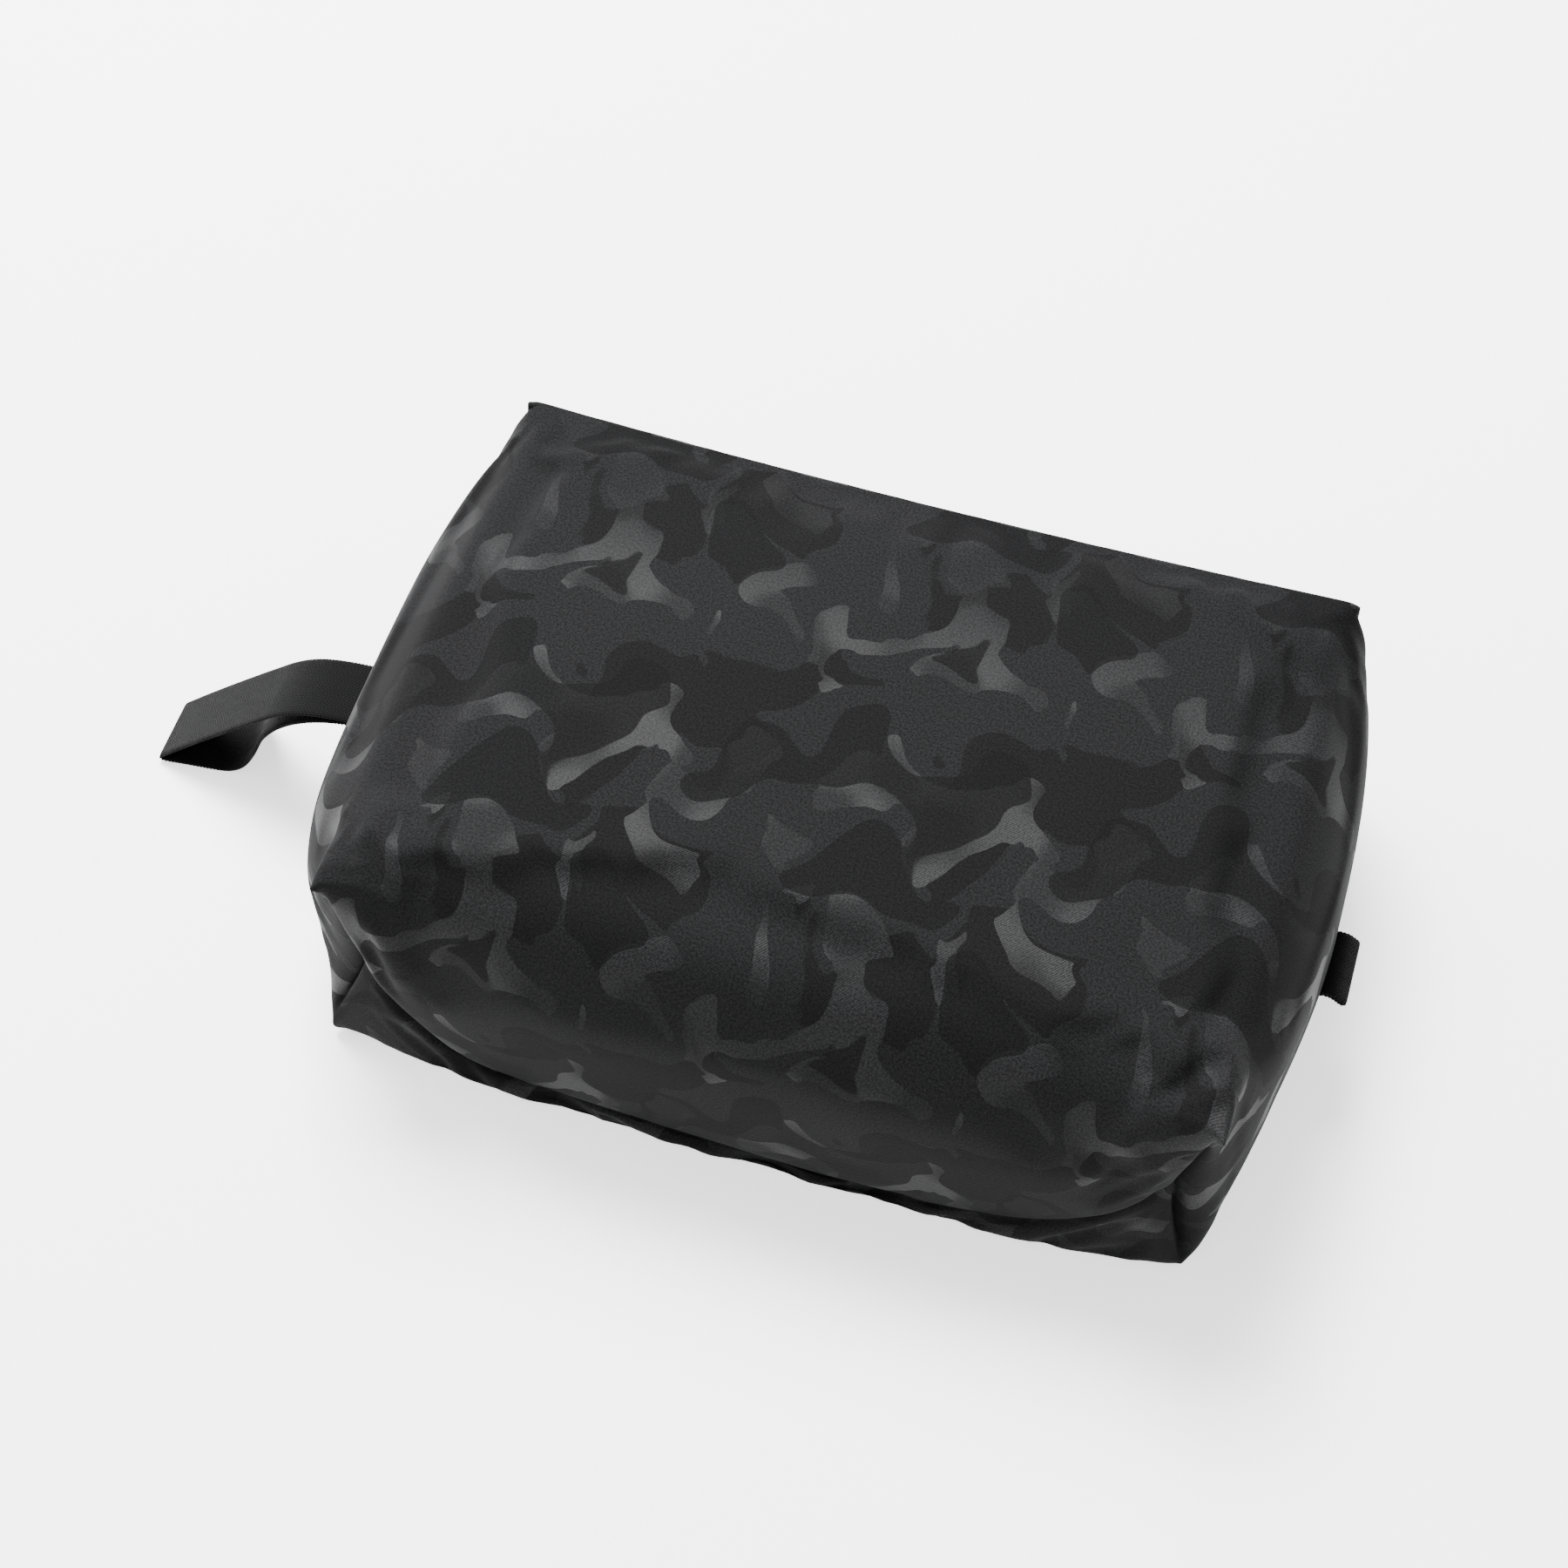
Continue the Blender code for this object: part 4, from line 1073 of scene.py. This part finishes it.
def tube(name, path, radius, sides=6, closed=False):
    """A round tube along a path of points."""
    path = np.asarray(path, float)
    ahead = np.roll(path, -1, axis=0) if closed else np.concatenate([path[1:], path[-1:]])
    behind = np.roll(path, 1, axis=0) if closed else np.concatenate([path[:1], path[:-1]])
    tangent = ahead - behind
    tangent /= np.linalg.norm(tangent, axis=1)[:, None]
    side = np.cross(tangent[0], (0.31, 0.22, 0.92))
    verts = []
    angles = np.linspace(0, 2 * math.pi, sides, endpoint=False)
    for p, t in zip(path, tangent):
        side = side - t * np.dot(side, t)
        side /= np.linalg.norm(side)
        up = np.cross(t, side)
        verts += [tuple(p + radius * (math.cos(a) * side + math.sin(a) * up)) for a in angles]
    count = len(path)
    faces = swept_faces(count, sides)
    if closed:
        last = (count - 1) * sides
        faces[-2:] = [(last + c, last + (c + 1) % sides, (c + 1) % sides, c) for c in range(sides)]
    return new_object(name, smooth_mesh(name, verts, faces))


def joined(name, things):
    """Several mesh objects as one."""
    verts, faces = [], []
    for thing in things:
        first = len(verts)
        verts += [tuple(v.co) for v in thing.data.vertices]
        faces += [tuple(first + i for i in p.vertices) for p in thing.data.polygons]
        bpy.data.objects.remove(thing)
    return new_object(name, smooth_mesh(name, verts, faces))


STITCH = 2.6 * MM
STITCH_GAP = 0.8 * MM
STITCH_RADIUS = 0.23 * MM
STITCH_ARCH = 0.22 * MM    # a stitch rises this far between its two holes,
STITCH_SINK = 0.12 * MM    # which start this far below the cloth's surface


def stitch_row(name, path, out=(0, 1, 0)):
    """Sewn stitches along a path, each one arched a little out of the cloth."""
    path = np.asarray(path, float)
    _, length = spread(path, [0])
    count = max(1, int(length / (STITCH + STITCH_GAP)))
    pitch = length / count
    out = np.array(out, float)
    stitches = []
    for n in range(count):
        ends = (n * pitch + STITCH_GAP / 2, (n + 1) * pitch - STITCH_GAP / 2)
        points, _ = spread(path, np.linspace(ends[0], ends[1], 6) / length)
        arch = np.sin(np.linspace(0, math.pi, 6))[:, None]
        arched = points + out * (STITCH_ARCH * arch - STITCH_SINK)
        stitches.append(tube("stitch", arched, STITCH_RADIUS, 6))
    row = joined(name, stitches)
    return dress(row, THREAD)


def coil(name, x0, x1, way, reach):
    """One side of the zip's coil, its heads reaching the given distance past the middle."""
    turns = int(round(abs(x1 - x0) / COIL_PITCH))
    steps = 14
    theta = np.linspace(0, 2 * math.pi * turns, turns * steps + 1)
    inner, outer = -reach, CHAIN_HALF - COIL_WIRE
    centre, half = (inner + outer) / 2, (outer - inner) / 2
    c, s = np.cos(theta), np.sin(theta)
    flat = np.sign(c) * np.abs(c) ** 0.75
    shift = 0.0 if way > 0 else COIL_PITCH / 2
    x = x0 + (x1 - x0) * theta / theta[-1] + shift * 0.5 * np.sign(x1 - x0)
    y = TAPE_OUT + COIL_LIFT + COIL_TALL * s
    z = MID + way * (centre - half * flat)
    made = tube(name, np.column_stack([x, y, z]), COIL_WIRE, 6)
    return dress(made, COIL)


def tape(name, x0, x1, way):
    """Half of the zip tape, with a corded edge under the coil."""
    zs = np.array([SLIDER_SLOT / MM, 1.4, 2.6, 3.4, 4.4, 6.5, 9, 11.5, 13.2, 14.0]) * MM
    outs = np.array([0.05, 0.15, 0.15, 0.1, 0, 0, 0, 0, 0, 0.12]) * MM
    ring = [(TAPE_OUT + o, z) for z, o in zip(zs, outs)]
    ring += [(TAPE_OUT - TAPE_THICK - o, z) for z, o in zip(zs[::-1], outs[::-1])]
    xs = np.linspace(x0, x1, max(2, int(abs(x1 - x0) / (2 * MM))))
    verts = [
        (x, y + 0.1 * MM * rough((x, 0, 0), 11 * MM, 6.6), MID + way * z)
        for x in xs for y, z in ring
    ]
    strip = new_object(name, turned_out(smooth_mesh(name, verts, swept_faces(len(xs), len(ring)))))
    return dress(strip, TAPE)


def quarter(thing, name, side, way):
    """The part of a finished zip face piece on one side of the middle and one way from the zip."""

    def cut(work):
        gone = []
        for face in work.faces:
            middle = face.calc_center_median()
            if middle.x * side < 0 or (middle.z - MID) * way < 0:
                gone.append(face)
        bmesh.ops.delete(work, geom=gone, context="FACES")

    return new_object(name, edited(thing.data.copy(), cut))


def face_columns():
    half = np.concatenate([
        np.linspace(0, SLOT_END - 2 * MM, 38),
        SLOT_END + np.array([0, 1.2, 2.6]) * MM,
        np.linspace(SLOT_END + 4 * MM, CORNER_X - 0.6 * MM, 5),
    ])
    return np.concatenate([-half[:0:-1], half])


def make_zip_face():
    """The zip face's cloth, tape, coils and stitches, each in quarters on either side of the middle and
    either side of the zip.
    """
    upper = lip_rows()
    middle = MID + np.array([-4.6, -2.5, 0, 2.5, 4.6]) * MM
    whole = face_panel(
        "zip_face",
        list(face_columns()),
        list(np.concatenate([HEIGHT - upper[::-1], middle, upper])),
        keep=lambda x, z: abs(x) > SLOT_END or abs(z - MID) > WINDOW_HALF,
    )
    stands_for = {
        (1, 1): ("zip_panel_upper", "zipper_tape_upper", "zipper_coil_upper"),
        (-1, -1): ("zip_panel_lower", "zipper_tape_lower", "zipper_coil_lower"),
        (-1, 1): ("zip_facing_left", "zipper_end_left", None),
        (1, -1): ("zip_facing_right", "zipper_end_right", None),
    }
    for body, way in (("upper_lip", 1), ("lower_lip", -1)):
        for side, hand in ((-1, "left"), (1, "right")):
            word = body.split("_")[0] + "_" + hand
            cloth = dress(quarter(whole, f"zip_cloth_{word}", side, way), CAMO)
            strip = tape(f"zip_tape_{word}", 0, side * (CORNER_X - 4 * MM), way)
            chain = coil(f"zip_coil_{word}", 0, side * LIP_END, way, 0.45 * MM)
            off = WINDOW_HALF + TOP_STITCH
            turn = SLOT_END + TOP_STITCH
            corners = np.array([(0, off), (turn, off), (turn, 0)])
            line, _ = spread(corners, np.linspace(0, 1, 150))
            line = [(side * x, face_depth(x, MID + way * z) + 0.05 * MM, MID + way * z) for x, z in line]
            sewn = stitch_row(f"zip_stitches_{word}", line)
            z = MID + way * (CHAIN_HALF - 1.0 * MM)
            line = [(x, TAPE_OUT + 2.1 * MM, z) for x in np.linspace(0, side * LIP_END, 60)]
            chain_sewn = stitch_row(f"coil_stitches_{word}", line)
            for piece in (cloth, strip, chain, sewn, chain_sewn):
                lift(piece)
            for piece, node in zip((cloth, strip, chain), stands_for[side, way]):
                if node:
                    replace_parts(piece, node)
            start = side * (LIP_END + 0.7 * MM)
            end = coil(f"zip_end_coil_{word}", start, side * COIL_END, way, -SLIDER_SLOT - COIL_WIRE)
            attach(end, "bag")
    bpy.data.objects.remove(whole)


def make_roll():
    """The rolled seam that joins the zip face to the front, the ends and the back."""
    inset = ROLL_INSET
    low, high = LOWER_AXIS.z, UPPER_AXIS.z
    bend = 2.2 * MM
    xs = np.linspace(-(CORNER_X - inset), CORNER_X - inset, 130)
    zs = np.linspace(low + bend, high - bend, 40)
    path = [(x, UPPER_AXIS.y, high) for x in xs]
    path += [(CORNER_X - inset, UPPER_AXIS.y, z) for z in zs[::-1]]
    path += [(x, UPPER_AXIS.y, low) for x in xs[::-1]]
    path += [(-(CORNER_X - inset), UPPER_AXIS.y, z) for z in zs]
    placed = []
    for x, y, z in path:
        nx, ny = round_far_corner(x, y)
        drop_y, drop_z = edge_sag(nx, z)
        ny += drop_y + 0.12 * MM * rough((x, 0, z), 6 * MM, 2.2)
        placed.append((nx, ny, z + drop_z + 0.1 * MM * rough((x, 0, z), 7 * MM, 7.1)))
    roll = tube("zip_face_seam", placed, ROLL_RADIUS, 10, closed=True)
    layer = roll.data.uv_layers.new(name="cloth")
    for loop in roll.data.loops:
        co = roll.data.vertices[loop.vertex_index].co
        layer.data[loop.index].uv = (co.x, co.z + co.y)
    dress(roll, CAMO)
    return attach(roll, "bag")


# ---- Lining and seam bindings ----
LINING_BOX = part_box("lining")
LINING_ROUND = 9 * MM


def make_lining():
    """The thin lining: a sewn box with soft corners and slack folds, open towards the zip."""
    (x0, y0, z0), (x1, _, z1) = LINING_BOX
    y1 = FAR_Y - 2.6 * MM
    nx, ny, nz = 60, 44, 22
    xs, ys, zs = np.linspace(x0, x1, nx), np.linspace(y0, y1, ny), np.linspace(z0, z1, nz)

    def patch(a, b, make, flat):
        points = np.array([[make(p, q) for q in b] for p in a])
        return points, np.array([[flat(p, q) for q in b] for p in a])

    patches = [
        patch(ys, xs, lambda y, x: (x, y, z0), lambda y, x: (x, y)),
        patch(ys, xs, lambda y, x: (x, y, z1), lambda y, x: (x, y + 0.3)),
        patch(ys, zs, lambda y, z: (x0, y, z), lambda y, z: (z, y + 0.6)),
        patch(ys, zs, lambda y, z: (x1, y, z), lambda y, z: (z, y + 0.9)),
        patch(zs, xs, lambda z, x: (x, y0, z), lambda z, x: (x, z - 0.3)),
    ]
    mesh = lattice_mesh("lining_bag", patches)
    core_low = Vector((x0, y0, z0)) + Vector((1, 1, 1)) * LINING_ROUND
    core_high = Vector((x1, 1.0, z1)) - Vector((1, 0, 1)) * LINING_ROUND
    for vertex in mesh.vertices:
        p = vertex.co.copy()
        core = Vector([min(max(p[a], core_low[a]), core_high[a]) for a in range(3)])
        away = p - core
        if away.length > 0:
            p = core + away * (LINING_ROUND / max(away.length, LINING_ROUND))
            inward = -away.normalized()
            slack = 0.9 * MM * (0.5 + rough(p, 34 * MM, 2.0)) + 0.35 * MM * rough(p, 9 * MM, 3.0)
            fold = 0.8 * MM * max(0.0, rough((p.x, p.y * 0.25, p.z), 13 * MM, 6.0))
            on_end = float(ease(x1 - 3 * MM, x1, abs(p.x)))
            rim = float(ease(0, 14 * MM, y1 - p.y))
            p += inward * (max(0.0, slack) + fold) * (1 - on_end) * (0.3 + 0.7 * rim)
        vertex.co = p
    lining = new_object("lining_bag", mesh)
    solid = lining.modifiers.new("thickness", "SOLIDIFY")
    solid.thickness = 0.45 * MM
    solid.offset = 0
    lining = subdivide(lining, 1)
    dress(lining, LINING)
    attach(lining, "bag")
    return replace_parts(lining, "lining")


BINDING_STEP = 1.2 * MM
BINDING_HEM = 1.6 * MM     # rows of stitches, in from the binding's edges


def make_binding(node):
    """A woven binding over an inside seam, ribbed across, with soft edges and two rows of stitches."""
    low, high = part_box(node)
    size = high - low
    along = 1 if size.y > size.z else 2
    across = 3 - along
    length, width = size[along], size[across]
    count = int(length / BINDING_STEP)
    middle = (low + high) / 2
    side = 1 if middle.x > 0 else -1
    half_rim = [(-1, 0), (-0.97, 0.5), (-0.8, 0.9), (-0.4, 1)]
    rim = half_rim + [(0, 0.85)] + [(-a, b) for a, b in half_rim[::-1]]
    ring = rim + [(a, -b) for a, b in rim[1:-1][::-1]]
    verts, cloth = [], []
    for n in range(count + 1):
        run = -length / 2 + length * n / count
        for a, b in ring:
            p = middle.copy()
            p[along] += run
            p[across] += a * width / 2 + 0.15 * MM * rough((run, 0, a), 20 * MM, 1.3)
            p.x += -side * (b * size.x / 2 * 0.9) - side * 0.08 * MM * math.sin(run / (0.9 * MM))
            verts.append(tuple(p))
            cloth.append((a * width / 2, run))
    faces = swept_faces(count + 1, len(ring))
    mesh = turned_out(smooth_mesh(node + "_tape", verts, faces, cloth))
    band = dress(new_object(node + "_tape", mesh), WEBBING)
    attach(band, "bag")
    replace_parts(band, node)
    for edge, word in ((-1, "a"), (1, "b")):
        line = []
        for run in np.linspace(-length / 2, length / 2, 40):
            p = middle.copy()
            p[along] += run
            p[across] += edge * (width / 2 - BINDING_HEM)
            p.x -= side * size.x * 0.47
            line.append(tuple(p))
        row = stitch_row(f"{node}_stitches_{word}", line, out=(-side, 0, 0))
        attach(row, "bag")


# ---- Camera, floor and light ----
CAMERA_PLACE = Vector((0.104, -0.396, 0.733))
CAMERA_TURN = math.radians(17.3)
CAMERA_RISE = math.radians(58.6)
LENS = 62.2
SENSOR = 36
FLOOR_HALF = 4.0
FLOOR_GLOW = 1.4
SKY_STRENGTH = 0.75
# Each lamp's name, place, aim, size in metres and power in watts.
LAMPS = (
    ("key", (-0.56, 0.88, 1.60), (-0.03, 0.0, 0.04), 0.9, 165),
    ("side", (-1.5, 0.15, 0.75), (-0.13, 0.0, 0.04), 0.8, 22),
    ("fill", (-0.9, -1.6, 2.0), (0.0, -0.05, 0.03), 2.2, 14),
)


def stand(name, data, place, way):
    """A camera or lamp at a place, looking in the given direction."""
    thing = new_object(name, data)
    thing.location = place
    thing.rotation_euler = way.to_track_quat("-Z", "Y").to_euler()
    return thing


def make_stage():
    data = bpy.data.cameras.new("camera")
    data.lens = LENS
    data.sensor_width = SENSOR
    level = math.cos(CAMERA_RISE)
    back = Vector((math.sin(CAMERA_TURN) * level, -math.cos(CAMERA_TURN) * level, math.sin(CAMERA_RISE)))
    bpy.context.scene.camera = stand("camera", data, CAMERA_PLACE, -back)
    rim = [(FLOOR_HALF * a, FLOOR_HALF * b, 0) for a, b in ((-1, -1), (1, -1), (1, 1), (-1, 1))]
    floor = new_object("floor", smooth_mesh("floor", rim, [(0, 1, 2, 3)]))
    g = Graph("floor_white", 0.75, specular=0.2)
    g.set("Base Color", (0.93, 0.93, 0.93, 1))
    g.set("Emission Color", (1, 1, 1, 1))
    g.set("Emission Strength", FLOOR_GLOW)
    floor.data.materials.append(g.made)
    world = bpy.data.worlds.new("studio")
    bpy.context.scene.world = world
    world.use_nodes = True
    sky = world.node_tree.nodes["Background"]
    sky.inputs["Color"].default_value = (1.0, 1.0, 1.0, 1)
    sky.inputs["Strength"].default_value = SKY_STRENGTH
    for name, place, aim, size, power in LAMPS:
        light = bpy.data.lights.new(name, "AREA")
        light.shape = "SQUARE"
        light.size = size
        light.energy = power
        stand(name, light, place, Vector(aim) - Vector(place))


make_stage()
shell = make_shell()
dress(shell, CAMO)
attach(shell, "bag")
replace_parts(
    shell, "front_panel", "back_panel", "base_panel",
    "left_end_upper", "left_end_lower", "right_end_upper", "right_end_lower",
)
make_loop()
make_tab()
make_zip_face()
make_roll()
make_lining()
for node in sorted(frame["nodes"]):
    if "_binding_" in node:
        make_binding(node)

METAL_NODES = ("zip_slider", "zip_puller", "zip_top_stop_upper", "zip_top_stop_lower", "zip_bottom_stop")
for name in METAL_NODES:
    part = frame["nodes"][name]
    part.data.materials.clear()
    part.data.materials.append(METAL)
    soft_edge = part.modifiers.new("worn_edges", "BEVEL")
    soft_edge.width = 0.18 * MM
    soft_edge.segments = 2
    soft_edge.limit_method = "ANGLE"
    soft_edge.angle_limit = math.radians(35)
